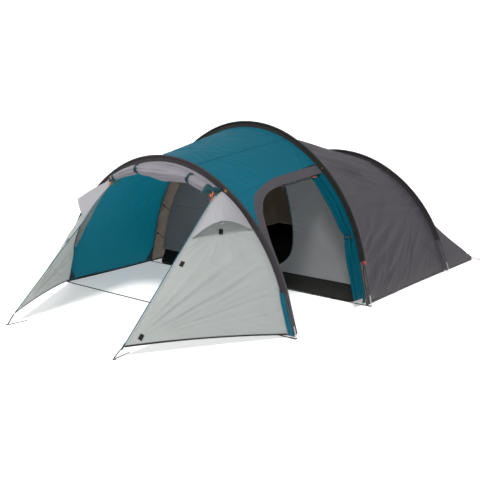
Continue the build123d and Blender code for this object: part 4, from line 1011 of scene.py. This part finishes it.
# -------------------------------------------------------------- rolled doors
def spiral(name, C, R, mat, turns, hint, squash_=1.0, r0=0.22, n_a=44, seed=1, folds=5, fa=0.05, wobble=0.05,
           node=None, body="tent", start=0.0, pinch=None, waves=(3, 12)):
    """A rolled cloth as one spiral sheet along C; R is the outer radius per station, squash_ flattens it."""
    C = np.asarray(C, float)
    n = len(C)
    T, N, B = frames_along(C, hint)
    m = int(turns * n_a) + 1
    j = np.linspace(0, 1, m)
    ang = start + 2 * pi * turns * j
    rad = r0 + (1 - r0) * j
    r = np.random.RandomState(seed)
    L = np.concatenate([[0], np.cumsum(np.linalg.norm(np.diff(C, axis=0), axis=1))])
    ph = np.cumsum(r.normal(0, 1, n)) * 0.0
    f = np.ones((n, m))
    for i in range(folds):
        k_ = r.randint(*waves)
        tw = r.uniform(-9, 9)
        p0 = r.uniform(0, 6)
        f += fa * r.uniform(0.4, 1) * np.sin(k_ * ang[None] + p0 + L[:, None] * tw + 0.6 * np.sin(L[:, None] * r.uniform(6, 20) + i)) * rad[None]
    if pinch is not None:
        # sharp gathers next to the ties
        g = np.zeros(n)
        for p_ in pinch:
            g = np.maximum(g, np.exp(-((L - p_) / 0.05) ** 2))
        f += 0.05 * g[:, None] * np.sin(ang[None] * 14 + L[:, None] * 30)
    f += wobble * np.sin(L * 23 + 1.0)[:, None] * 0.3
    R = np.asarray(R, float)
    Ra, Rb = (R[:, 0], R[:, 1]) if R.ndim == 2 else (R, R * squash_)
    q = rad[None] * f
    end = 0.010 * np.sin(ang * 1.3 + 0.5) * 0.6
    G = C[:, None] + N[:, None] * (Ra[:, None] * q * np.cos(ang)[None])[..., None] + \
        B[:, None] * (Rb[:, None] * q * np.sin(ang)[None])[..., None]
    G[0] += -T[0] * end[:, None]
    G[-1] += T[-1] * end[:, None]
    o = cloth(name, G, mat, th=0.0010, node=node, body=body, declare=False)
    return o, G


FD = np.array([(-0.560, 0.022, 0.018), (-0.53, 0.026, 0.0235), (-0.50, 0.030, 0.027), (-0.40, 0.037, 0.034), (-0.31, 0.043, 0.038),
               (-0.255, 0.046, 0.036), (-0.240, 0.046, 0.0355), (-0.225, 0.046, 0.036), (-0.15, 0.062, 0.050), (-0.05, 0.069, 0.059),
               (0.07, 0.071, 0.063), (0.17, 0.065, 0.058), (0.26, 0.054, 0.048), (0.320, 0.048, 0.039), (0.335, 0.048, 0.038),
               (0.350, 0.048, 0.039), (0.42, 0.046, 0.043), (0.49, 0.040, 0.036), (0.510, 0.037, 0.031), (0.530, 0.033, 0.020), (0.540, 0.032, 0.012)])


def fd_c(x):
    x = np.asarray(x, float)
    zl = 1.2754 - FI - (1.09 - np.sqrt(1.09 ** 2 - x * x))
    return np.stack([x, np.full_like(x, -0.062), zl - np.interp(x, FD[:, 0], FD[:, 1])], -1)


xs = np.linspace(-0.560, 0.540, 260)
Rr = np.interp(xs, FD[:, 0], FD[:, 2])
Rr = np.convolve(np.pad(Rr, 3, "edge"), np.ones(7) / 7, "valid")
fdo, FG = spiral("front_door_roll", fd_c(xs), Rr, M["roll"], 6.3, (0, 0, 1), seed=5, folds=9, fa=0.060,
                 node="rolled_front_door", pinch=[x_ + 0.56 for x_ in (-0.24, 0.335, -0.53, 0.51)], start=2.2)
# door header from the sleeve down to the roll
hx_ = np.linspace(-0.566, 0.572, 200)
q = np.linspace(0, 1, 9)
tt_ = np.linspace(0.25, 0.75, 1200)
sx_, sz_ = sec(1, FI - 0.002, tt_)
top_z = np.interp(hx_, sx_, sz_)
Hh = np.zeros((200, 9, 3))
rc = fd_c(hx_)
rr2 = np.interp(hx_, xs, Rr)
rg = np.random.RandomState(77)
gw = sum(np.sin(hx_ * k_ + rg.uniform(0, 6)) * a_ for k_, a_ in ((60, .5), (113, .4), (190, .3), (31, .5)))
for j_, qq in enumerate(q):
    a = np.array([hx_, np.full_like(hx_, -0.0035), top_z]).T
    b = rc + np.stack([0 * hx_, rr2 * 0.55, rr2 * 0.80], -1)
    Hh[:, j_] = a * (1 - qq) + b * qq
    Hh[:, j_, 1] += -0.012 * sin(pi * qq) + 0.0022 * gw * sin(pi * min(1, qq * 1.1)) * (0.3 + qq)
cloth("front_door_header", Hh, M["roll"])

for nm_, x_, rr_, wdt in (("left", -0.240, 0.0395, 0.020), ("right", 0.335, 0.0425, 0.020), ("left_end", -0.530, 0.0270, 0.022)):
    c_ = fd_c(x_)
    d_ = fd_c(x_ + 0.004) - fd_c(x_ - 0.004)
    d_ /= np.linalg.norm(d_)
    xh = np.array([0, 1.0, 0])
    zh = np.cross(d_, xh)
    an = np.linspace(0, 2 * pi, 49)
    wob = 1 + 0.012 * np.sin(an * 5 + x_ * 20)
    P = c_ + (xh[None] * np.cos(an)[:, None] + zh[None] * np.sin(an)[:, None]) * (rr_ + 0.0009) * wob[:, None]
    strip(f"front_door_tie_{nm_}", P, (P - c_), wdt, 0.0018, M["teal_dark"], node="front_door_ties", cols=5)
    # tail of the tie up to the sleeve
    if "end" not in nm_:
        P = np.array([c_ + [0, rr_ * 0.60, rr_ * 0.82], c_ + [0, 0.044, 0.040], c_ + [0, 0.0585, 0.047]])
        P = spline(P, 12)
        strip(f"front_door_tie_tail_{nm_}", P, (0, 1, 0.2), 0.018, 0.0014, M["teal_dark"])
# teal ends of the door's ties, with the zip cords beside them
for sg, sdn in ((1, "right"), (-1, "left")):
    e_ = np.array([0.556 if sg > 0 else -0.568, -0.050, 0.0])
    e_[2] = float(np.interp(e_[0], sx_, sz_))
    if sg > 0:
        # cuff drawn over the roll's end and up under the sleeve, with the strap's tail hanging from it
        zs_ = lambda x: float(np.interp(x, sx_[::-1] if sx_[0] > sx_[-1] else sx_, sz_[::-1] if sx_[0] > sx_[-1] else sz_))
        P = spline([fd_c(0.504), fd_c(0.520), fd_c(0.540), np.array([0.562, -0.046, zs_(0.562) - 0.020]),
                    np.array([0.584, -0.022, zs_(0.584) - 0.006]), np.array([0.596, -0.006, zs_(0.596) + 0.004])], 40)
        u_ = np.linspace(0, 1, 40)
        Rc = np.interp(u_, [0, 0.18, 0.40, 0.62, 0.82, 1.0], [0.0350, 0.0345, 0.0275, 0.0205, 0.0180, 0.0170])
        rg_ = 1 + 0.035 * np.sin(np.arange(22)[None] * 2 * pi / 22 * 7 + u_[:, None] * 5) * np.sin(pi * np.clip(u_[:, None] * 1.3, 0, 1))
        T_, N_, B_ = frames_along(P, (0, 0, 1))
        a_ = np.arange(22) / 22 * 2 * pi
        Gc = P[:, None] + (N_[:, None] * np.cos(a_)[None, :, None] + B_[:, None] * np.sin(a_)[None, :, None]) * (Rc[:, None] * rg_)[..., None]
        o = make("door_end_tie_right", Gc, gridfaces(40, 22, wrap=True, flip=True), M["teal_dark"], uv=arclen_uv(Gc))
        solidify(o, 0.0016, 0.0)
        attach(o, "tent")
        c2_ = fd_c(0.520)
        P = spline([c2_ + [0.020, -0.030, 0.010], c2_ + [0.002, -0.040, -0.010], c2_ + [-0.022, -0.040, -0.026], c2_ + [-0.040, -0.036, -0.034]], 24)
        strip("door_end_tail_right", P, (0.3, -1, 0.2), 0.026, 0.0016, M["teal_dark"])
        hook = e_ + [0.008, -0.016, -0.046]
    else:
        # strap under the roll's thin end, with a loose knot
        P = spline([e_ + [-0.004, 0.040, 0.006], e_ + [0.002, 0.004, -0.014], e_ + [0.022, -0.026, -0.040],
                    e_ + [0.070, -0.030, -0.046], e_ + [0.118, -0.022, -0.030]], 40)
        strip("door_end_tie_left", P, (0.1, -1, 0.3), 0.020, 0.0022, M["teal_dark"])
        P = spline([e_ + [0.000, -0.010, -0.012], e_ + [0.012, -0.026, -0.026], e_ + [0.004, -0.032, -0.044],
                    e_ + [-0.010, -0.026, -0.034], e_ + [-0.004, -0.014, -0.016]], 30)
        strip("door_end_knot_left", P, (0.4, -1, 0.0), 0.016, 0.0026, M["teal_dark"])
        for n_, dx_ in (("a", 0.012), ("b", 0.022)):
            P = spline([e_ + [dx_, -0.028, -0.040], e_ + [dx_ + 0.004, -0.030, -0.062], e_ + [dx_ + 0.012, -0.030, -0.074],
                        e_ + [dx_ + 0.014, -0.028, -0.058], e_ + [dx_ + 0.006, -0.026, -0.040]], 24)
            tube(f"door_end_loop_{n_}", P, 0.0022, M["olive"], n=8)
        hook = e_ + [-0.014, -0.020, -0.040]
    P = spline([hook + [0, 0.004, 0.018], hook + [sg * 0.012, -0.004, 0.006], hook + [sg * 0.008, -0.006, -0.012],
                hook + [-sg * 0.010, -0.006, -0.026], hook + [-sg * 0.014, -0.004, -0.012], hook + [-sg * 0.002, 0, 0.006]], 34)
    tube(f"door_zip_cord_{sdn}", P, 0.0028, M["orange"], n=8)

# side door bundle tied back along the middle hoop
SDK = [(0.700, 0.050, 0.014), (0.718, 0.060, 0.020), (0.745, 0.067, 0.024), (0.775, 0.072, 0.026), (0.815, 0.062, 0.025),
       (0.842, 0.048, 0.0225), (0.856, 0.041, 0.0205), (0.872, 0.050, 0.023), (0.905, 0.068, 0.027), (0.940, 0.073, 0.026),
       (0.985, 0.066, 0.019)]
tq = np.linspace(0.700, 0.985, 150)
ha = np.interp(tq, [k_[0] for k_ in SDK], [k_[1] for k_ in SDK])
hb = np.interp(tq, [k_[0] for k_ in SDK], [k_[2] for k_ in SDK])
ha = ha * 1.06
wc_ = 0.937 + 0.026 * np.exp(-((tq - 0.853) / 0.014) ** 2)
cc_ = np.stack([vest(w_, t_, FI + 0.030) for w_, t_ in zip(wc_, tq)])
cc_[:, 1] -= 0.006
cc_[:, 2] = np.maximum(cc_[:, 2], 0.024)
for i_ in range(3):
    cc_[:, i_] = np.convolve(np.pad(cc_[:, i_], 3, "edge"), np.ones(7) / 7, "valid")
Ls = np.concatenate([[0], np.cumsum(np.linalg.norm(np.diff(cc_, axis=0), axis=1))])
pin = float(np.interp(0.856, tq, Ls))
sdo, SG = spiral("side_door_roll", cc_, np.stack([ha, hb], -1), M["bundle"], 3.3, (0, 1, 0), seed=9, folds=5, fa=0.075, r0=0.25, waves=(2, 5),
                 node="rolled_side_door", pinch=[pin], start=0.3)
hdr = np.zeros((150, 10, 3))
hx2, hz2 = sec(2, FI - 0.002, tq)
fold_ = np.random.RandomState(91)
gw2 = sum(np.sin(Ls * k_ + fold_.uniform(0, 6)) * a_ for k_, a_ in ((22, .6), (51, .5), (97, .3)))
T_, N_, B_ = frames_along(cc_, (0, 1, 0))
for j_ in range(10):
    qq = j_ / 9
    a = np.stack([hx2, np.full_like(hx2, 1.1010), hz2], -1)
    b = cc_ + N_ * (ha * 0.45)[:, None] + B_ * (hb * 0.75 * np.sign(B_[:, 0]))[:, None]
    hdr[:, j_] = a * (1 - qq) + b * qq
    hdr[:, j_] += (B_ * np.sign(B_[:, :1])) * (0.004 * sin(pi * qq) * (1 + 0.9 * gw2))[:, None]
cloth("side_door_header", hdr, M["bundle"])
i5 = int(np.argmin(abs(tq - 0.856)))
c5 = cc_[i5]
T_, N_, B_ = frames_along(cc_, (0, 1, 0))
an = np.linspace(0, 2 * pi, 49)
P = c5 + N_[i5] * (0.0462 * np.cos(an))[:, None] + B_[i5] * (0.0256 * np.sin(an))[:, None]
strip("side_door_tie_strap", P, P - c5, 0.018, 0.0018, M["teal_dark"], node="side_door_tie")

# ---------------------------------------------------------------- inner tent
TBi = t_at_z(2, INNER, TUB_H + 0.004)
DOOR = [(0.372, 0.948), (0.419, 0.812), (0.450, 0.685), (0.474, 0.557), (0.477, 0.435), (0.463, 0.350), (0.420, 0.278),
        (0.321, 0.205), (0.18, 0.185), (-0.02, 0.180), (-0.20, 0.185), (-0.30, 0.205), (-0.36, 0.26), (-0.385, 0.36),
        (-0.385, 0.50), (-0.375, 0.66), (-0.350, 0.82), (-0.300, 0.96), (-0.215, 1.075), (-0.10, 1.135), (0.03, 1.150),
        (0.16, 1.125), (0.28, 1.055)]


def closed_spline(pts, n):
    p = np.array(pts, float)
    m = len(p)
    out = []
    for u in np.linspace(0, m, n, endpoint=False):
        i = int(u)
        f = u - i
        a, b, c, d = p[(i - 1) % m], p[i % m], p[(i + 1) % m], p[(i + 2) % m]
        out.append(0.5 * (2 * b + (c - a) * f + (2 * a - 5 * b + 4 * c - d) * f * f + (3 * b - a - 3 * c + d) * f ** 3))
    return np.array(out)


DS = closed_spline(DOOR, 320)
cen = np.array([0.04, 0.62])
arch_t = np.linspace(1 - TBi, TBi, 300)
ax_, az_ = sec(2, INNER, arch_t)
outp = np.vstack([np.stack([ax_, az_], -1), np.stack([np.linspace(ax_[-1], ax_[0], 80)[1:-1], np.full(78, az_[0])], -1)])
oang = np.unwrap(np.arctan2(outp[:, 1] - cen[1], outp[:, 0] - cen[0]))
orad = np.linalg.norm(outp - cen, axis=1)
dang = np.unwrap(np.arctan2(DS[:, 1] - cen[1], DS[:, 0] - cen[0]))
drad = np.linalg.norm(DS - cen, axis=1)
th_ = np.linspace(-pi, pi, 420, endpoint=False)


def periodic(x, xp, fp):
    o_ = np.argsort(np.mod(xp, 2 * pi))
    return np.interp(np.mod(x, 2 * pi), np.mod(xp, 2 * pi)[o_], fp[o_], period=2 * pi)


ro_, rd_ = periodic(th_, oang, orad), periodic(th_, dang, drad)
q = np.linspace(0, 1, 40) ** 1.15
GR = cen[None, None] + (rd_[:, None] * (1 - q) + ro_[:, None] * q)[..., None] * np.stack([np.cos(th_), np.sin(th_)], -1)[:, None]
fI = field(81, lo=1.2, hi=6)
Gw = np.zeros(GR.shape[:2] + (3,))
Gw[..., 0], Gw[..., 2] = GR[..., 0], GR[..., 1]
alongd = np.concatenate([[0], np.cumsum(np.linalg.norm(np.diff(Gw[:, 0], axis=0), axis=1))])[:, None]
dist = (ro_ - rd_)[:, None] * q[None]
Gw[..., 1] = YI - 0.0015 - 0.006 * fI(GR[..., 0], GR[..., 1]) * np.sin(pi * q)[None] - \
    0.0030 * np.sin(alongd * 2 * pi / 0.05 + 1.5 * np.sin(alongd * 9)) * np.exp(-dist / 0.07) * np.minimum(1, dist / 0.02)
Gc = np.concatenate([Gw, Gw[:1]], 0)
cloth("inner_wall_cloth", Gc, M["inner"], th=0.0008, node="inner_front_wall",
      flat=(2.20, 1.22), area=1.395, flip=True)
# piping round the inner doorway
P3 = np.stack([DS[:, 0], np.full(len(DS), YI - 0.0028), DS[:, 1]], -1)
P3 = np.vstack([P3, P3[:1]])
tube("inner_door_piping", P3, 0.0042, M["teal_dark"], n=8, caps=False, hint=(0, 1, 0))

# canopy
T3i = t_at_z(3, 0.135, TUB_H + 0.004)
gx_, gy_ = 1.125, 3.130
nf, ng = 260, 150
f_ = np.linspace(0, 1, nf)
t2_ = 1 - TBi + (2 * TBi - 1) * f_
t3_ = 1 - T3i + (2 * T3i - 1) * f_
a_x, a_z = sec(2, INNER, t2_)
b_x, b_z = sec(3, 0.135, t3_)
A = np.stack([a_x, np.full(nf, YI + 0.002), a_z], -1)
B = np.stack([b_x, np.full(nf, HOOP[3][0] - 0.03), b_z], -1)
Gg = np.stack([tail_ground(ff, gx_, gy_, TUB_H + 0.004, [abs(bx), HOOP[3][0] + 0.05, TUB_H + 0.004], t1=0.84)
               for ff, bx in zip(f_, b_x)])
stn = []
for g_ in np.linspace(0, 1, ng):
    if g_ < 0.78:
        h_ = g_ / 0.78
        p_ = A * (1 - h_) + B * h_
        p_ = p_ * np.array([1 - 0.008 * 4 * h_ * (1 - h_), 1, 1 - 0.004 * 4 * h_ * (1 - h_)])
    else:
        h_ = (g_ - 0.78) / 0.22
        p_ = B * (1 - h_) + Gg * h_
    stn.append(p_)
G = np.stack(stn, 1)
N = normals(G)
if N[nf // 2, 40, 2] < 0:
    N = -N
fK = field(83, lo=0.8, hi=5)
uu_, vv_ = np.meshgrid(np.linspace(0, 2.0, ng), np.linspace(0, 3.4, nf))
D = (0.008 * fK(uu_, vv_) - 0.004) * np.minimum(1, np.sin(pi * np.linspace(0, 1, ng))[None] * 6) * \
    np.minimum(1, np.sin(pi * f_)[:, None] * 8)
G = G + N * D[..., None]
cloth("inner_canopy_cloth", G, M["inner_roof"], th=0.0008, node="inner_canopy")

# bathtub floor
fx_, rx_ = abs(float(sec(2, INNER, TBi)[0])), gx_
b3 = abs(float(sec(3, 0.135, T3i)[0]))
base = np.array([(-fx_, YI + 0.001), (fx_, YI + 0.001), (b3, HOOP[3][0] + 0.02), (rx_, gy_), (-rx_, gy_), (-b3, HOOP[3][0] + 0.02)])
edge_pts = []
for i in range(6):
    a, b = base[i], base[(i + 1) % 6]
    n_ = max(8, int(np.linalg.norm(b - a) / 0.022))
    for f in np.linspace(0, 1, n_, endpoint=False):
        edge_pts.append(a * (1 - f) + b * f)
E2 = np.array(edge_pts)
for _ in range(3):
    E2 = (np.roll(E2, 1, 0) + E2 * 2 + np.roll(E2, -1, 0)) / 4
cb = np.array([0.0, (YI + gy_) / 2])
rows = []
ne = len(E2)
al_ = np.arange(ne) * 0.022
rgt = np.random.RandomState(85)
wrk = sum(np.sin(al_ * 2 * pi / l_ + rgt.uniform(0, 6)) * a_ for l_, a_ in ((0.31, .8), (0.13, .6), (0.071, .4), (0.046, .25)))
inw = (cb - E2)
inw /= np.linalg.norm(inw, axis=1, keepdims=True)
for z_, d_ in ((TUB_H, 0.0), (0.125, 0.001), (0.105, 0.000), (0.085, -0.002), (0.065, -0.004), (0.045, -0.006), (0.028, -0.006),
               (0.014, -0.002), (0.006, 0.006), (0.0022, 0.018)):
    amp = 0.0035 * np.sin(pi * min(1, z_ / TUB_H + 0.08))
    p_ = E2 + inw * (d_ + amp * (wrk + 0.6))[:, None]
    fr_ = np.clip((1.30 - E2[:, 1]) / 0.14, 0, 1)
    p_[:, 1] -= fr_ * 0.052 * (1 - min(1, max(0, z_ - 0.004) / 0.12)) ** 1.2
    rows.append(np.column_stack([p_, np.full(ne, z_) + 0.0015 * (wrk if z_ > 0.1 else 0)]))
fT = field(87, lo=1.0, hi=6)
for s_ in np.linspace(0.97, 0.0, 46):
    p_ = cb + (E2 + inw * 0.02 - cb) * s_
    zz = 0.0022 + 0.004 * np.clip(fT(p_[:, 0], p_[:, 1]) + 0.2, 0, 1.4) * min(1, (1 - s_) * 12)
    rows.append(np.column_stack([p_, zz]))
Gt = np.stack(rows, 0)
Gt = np.concatenate([Gt, Gt[:, :1]], 1)
cloth("bathtub_cloth", Gt, M["tub"], th=0.0010, node="bathtub_floor",
      flat=(2.70, 2.28), area=area_of(Gt) if area_of(Gt) < 6.1 else 6.1, flip=True)

# inner door flap rolled at the left of its doorway
kc = [(-0.432, YI + 0.040, 0.175), (-0.440, YI + 0.042, 0.30), (-0.440, YI + 0.042, 0.50), (-0.432, YI + 0.042, 0.70),
      (-0.400, YI + 0.042, 0.88), (-0.345, YI + 0.040, 1.02)]
P = spline(kc, 110)
Rk = np.interp(np.linspace(0, 5, 110), range(6), [0.026, 0.034, 0.030, 0.034, 0.030, 0.016])
spiral("inner_door_flap", P, Rk, M["inner"], 5.2, (0, 1, 0), seed=15, folds=6, fa=0.05, node="inner_door_roll",
       start=1.0)

# ------------------------------------------------------------ small trim
def on_vest(w_, t_, off):
    p_ = vest(w_, t_)
    e_ = 1e-3
    a_ = vest(w_ + e_, t_) - vest(w_ - e_, t_)
    b_ = vest(w_, t_ + e_) - vest(w_, t_ - e_)
    n_ = np.cross(a_, b_)
    n_ = n_ / np.linalg.norm(n_)
    c_ = p_ - [0, p_[1], 0.5]
    if n_ @ c_ < 0:
        n_ = -n_
    return p_ + n_ * off, n_


# reinforcing patches in the porch panel's lower corners
for tag, wa, wb_, sgn_ in (("front_left", 0.004, 0.075, -1), ("middle_left", 0.996, 0.915, -1), ("middle_right", 0.997, 0.955, 1)):
    g_ = np.zeros((9, 9, 3))
    for i in range(9):
        for j in range(9):
            a_, b_ = i / 8, j / 8
            wq = wa + (wb_ - wa) * a_ * (1 - b_ * 0.97)
            tz = 0.993 - 0.034 * b_
            tz = tz if sgn_ > 0 else 1 - tz
            g_[i, j] = on_vest(wq, tz, -0.0045)[0]
    cloth(f"corner_patch_{tag}", g_, M["teal_dark"], th=0.0010, declare=False)

# dark hem tape along the foot of every outer panel
def hem(name, P, mat="binding", h=0.012):
    P = np.asarray(P, float)
    T = np.gradient(P, axis=0)
    out = np.cross(T, [0, 0, 1.0])
    out /= np.linalg.norm(out, axis=1, keepdims=True)
    cen_ = np.array([0, 1.3, 0])
    sgn = np.sign(((P - cen_) * out).sum(1)).mean()
    out *= np.sign(sgn)
    P = P + out * 0.0022
    P[:, 2] = h / 2 + 0.0012 + 0 * P[:, 2]
    strip(name, P, out, h, 0.0016, M[mat], cols=3)


qq_ = np.linspace(0, 1, 70)
hem("porch_hem_left", vest(qq_, 0.0045 + 0 * qq_), h=0.024)
hem("bedroom_hem_left", rear(qq_, 0.0035 + 0 * qq_), h=0.020)
hem("bedroom_hem_right", rear(qq_, 0.9965 + 0 * qq_), h=0.020)
tq_ = np.linspace(0.004, 0.996, 160)
# the rear panel's turned edge reaches from the cloth down to the ground, with the tape along its foot
P = tail_ground(tq_, CORNER[0], CORNER[1] - 0.004, CORNER[2], [abs(float(fx)), HOOP[3][0] + 0.024, 0.012])
T_ = np.gradient(P, axis=0)
out_ = np.cross(T_, [0, 0, 1.0])
out_ /= np.linalg.norm(out_, axis=1, keepdims=True)
out_ *= np.sign(((P - np.array([0, 1.3, 0])) * out_).sum(1).mean())
zt_ = P[:, 2] + 0.004
Q = P + out_ * 0.0010
Q[:, 2] = (zt_ + 0.0014) / 2
strip("tail_turned_edge", Q, out_, zt_ - 0.0014, 0.0014, M["dark"], cols=3)
hem("tail_hem", P, h=0.013)
# webbing sewn to each pegged corner, from which the peg loop hangs
for sg, sdn in ((1, "right"), (-1, "left")):
    o3 = np.array([0.600, -1.150, 0.0078])
    d_ = (o3 - TIP) / np.linalg.norm(o3 - TIP)
    P = spline([TIP - zu * 0.030 - wn * 0.0040, TIP - zu * 0.010 - wn * 0.0035, TIP + d_ * 0.004 - [0, 0, 0.0030],
                TIP + d_ * 0.022 - [0, 0, 0.0035]], 26)
    strip(f"wing_corner_webbing_{sdn}", mirror(P, sg), mirror(wn, sg), 0.014, 0.0020, M["black"], cols=3)
    c3 = np.array([CORNER[0], CORNER[1], CORNER[2] - 0.003])
    o3 = np.array([1.344, 3.372, 0.0078])
    d_ = (o3 - c3) / np.linalg.norm(o3 - c3)
    P = spline([c3 - d_ * 0.030, c3 - d_ * 0.010, c3 + d_ * 0.008, c3 + d_ * 0.024], 20)
    strip(f"rear_corner_webbing_{sdn}", mirror(P, sg), (0, 0, 1), 0.014, 0.0020, M["black"], cols=3)

# seam tape where porch and bedroom meet below the middle sleeve
for sg, sdn in ((1, "right"), (-1, "left")):
    zz_ = np.linspace(0.400, 0.006, 40)
    P = np.array([(sg * float(sec(2, FI - 0.0016, t_at_z(2, FI, z_))[0]), HOOP[2][0], z_) for z_ in zz_])
    strip(f"middle_leg_seam_{sdn}", P, (sg * 0.97, 0, 0.24), 0.014, 0.0016, M["sleeve2"], cols=3)
# elastic hangers: flat webbing with a small toggle near the fly
for sg, sdn in ((1, "right"), (-1, "left")):
    for i_, z_ in enumerate((0.30, 0.60, 0.885)):
        a = sec(2, FI + 0.004, t_at_z(2, FI, z_ + 0.020))
        b = sec(2, INNER - 0.0015, t_at_z(2, INNER, z_ - 0.045))
        A_ = np.array([sg * float(a[0]), 1.112, float(a[1])])
        B_2 = np.array([sg * float(b[0]), YI - 0.003, float(b[1])])
        ho_ = tube(f"hanger_{sdn}_{i_ + 1}", spline([A_, A_ * 0.5 + B_2 * 0.5 - [0, 0, 0.002], B_2], 16), 0.0034, M["elastic"], n=8)
        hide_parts("inner_hangers")
        dd_ = (B_2 - A_) / np.linalg.norm(B_2 - A_)
        c_ = A_ + dd_ * 0.022
        tube(f"hanger_toggle_{sdn}_{i_ + 1}", np.array([c_ - [0, 0.011, 0], c_, c_ + [0, 0.011, 0]]), 0.0058, M["plastic"], n=10,
             hint=(0, 0, 1))

# leg tension straps beside the poles, below each sleeve
for k, nm in ((1, "front"), (2, "middle"), (3, "rear")):
    for sg, sdn in ((1, "right"), (-1, "left")):
        z_ = np.linspace(SLEEVE_END_Z[k] + 0.010, 0.030, 24)
        P = []
        for i, zz in enumerate(z_):
            io = 0.022 + 0.010 * min(1, i / 10) * (1 - max(0, (i - 14) / 10))
            x, z2 = sec(k, io, t_at_z(k, io, zz))
            P.append((sg * float(x), HOOP[k][0] - (0.0045 if k < 3 else -0.004), float(z2)))
        strip(f"{nm}_leg_strap_{sdn}", spline(P, 50), (0, -1 if k < 3 else 1, 0), 0.009, 0.0014, M["black"], cols=3)

# ------------------------------------------------------------------- staging
def area_light(name, loc, target, size, power, col=(1, 1, 1)):
    l_ = bpy.data.lights.new(name, "AREA")
    l_.shape = "RECTANGLE"
    l_.size, l_.size_y = size
    l_.energy = power
    l_.color = col
    o_ = bpy.data.objects.new(name, l_)
    ROOT.objects.link(o_)
    o_.location = loc
    d_ = Vector(target) - Vector(loc)
    o_.rotation_euler = d_.to_track_quat("-Z", "Y").to_euler()
    return o_


k = NT("studio_floor")
p = k.add("ShaderNodeBsdfPrincipled")
p.inputs["Base Color"].default_value = (0.80, 0.80, 0.80, 1)
p.inputs["Emission Color"].default_value = (1, 1, 1, 1)
p.inputs["Emission Strength"].default_value = 0.36
p.inputs["Roughness"].default_value = 0.9
p.inputs["Specular IOR Level"].default_value = 0.1
k.link(p.outputs[0], k.out.inputs[0])
me = bpy.data.meshes.new("studio_floor")
me.from_pydata([(-40, -40, -0.0006), (40, -40, -0.0006), (40, 40, -0.0006), (-40, 40, -0.0006)], [], [(0, 1, 2, 3)])
floor = bpy.data.objects.new("studio_floor", me)
me.materials.append(k.m)
ROOT.objects.link(floor)

w_ = bpy.data.worlds.new("studio")
bpy.context.scene.world = w_
w_.use_nodes = True
bg = w_.node_tree.nodes["Background"]
wt = w_.node_tree
tc_ = wt.nodes.new("ShaderNodeTexCoord")
sp_ = wt.nodes.new("ShaderNodeSeparateXYZ")
wt.links.new(tc_.outputs["Generated"], sp_.inputs[0])
mr_ = wt.nodes.new("ShaderNodeMapRange")
mr_.interpolation_type = "SMOOTHSTEP"
wt.links.new(sp_.outputs[2], mr_.inputs["Value"])
mr_.inputs["From Min"].default_value, mr_.inputs["From Max"].default_value = 0.15, 0.60
mr_.inputs["To Min"].default_value, mr_.inputs["To Max"].default_value = 1.02, 0.40
wt.links.new(mr_.outputs[0], bg.inputs[0])
bg.inputs[1].default_value = 1.0
for nm_, en_, an_, dr_ in (("sun_high", 3.1, 16, (-0.20, 0.50, -0.95)), ("sun_left", 1.2, 30, (0.80, 0.40, -0.45))):
    sun = bpy.data.lights.new(nm_, "SUN")
    sun.energy = en_
    sun.angle = radians(an_)
    sun.color = (1.0, 0.99, 0.975)
    so = bpy.data.objects.new(nm_, sun)
    ROOT.objects.link(so)
    so.rotation_euler = Vector(dr_).to_track_quat("-Z", "Y").to_euler()

cam = bpy.data.cameras.new("camera")
cam.sensor_width = 36.0
cam.lens = 60.58
co = bpy.data.objects.new("camera", cam)
ROOT.objects.link(co)
yaw, pit, rol = 0.676, 0.206, 0.0048
d = Vector((-sin(yaw) * cos(pit), cos(yaw) * cos(pit), -sin(pit)))
rt_ = Vector((cos(yaw), sin(yaw), 0))
up = rt_.cross(d)
r2, u2 = rt_ * cos(rol) + up * sin(rol), -rt_ * sin(rol) + up * cos(rol)
Mx = Matrix(((r2.x, u2.x, -d.x), (r2.y, u2.y, -d.y), (r2.z, u2.z, -d.z)))
co.matrix_world = Matrix.Translation((4.5636, -4.7081 - YO, 1.9402)) @ Mx.to_4x4()
cam.clip_end = 200
bpy.context.scene.camera = co
bpy.context.scene.view_settings.view_transform = "Standard"
bpy.context.scene.view_settings.look = "None"
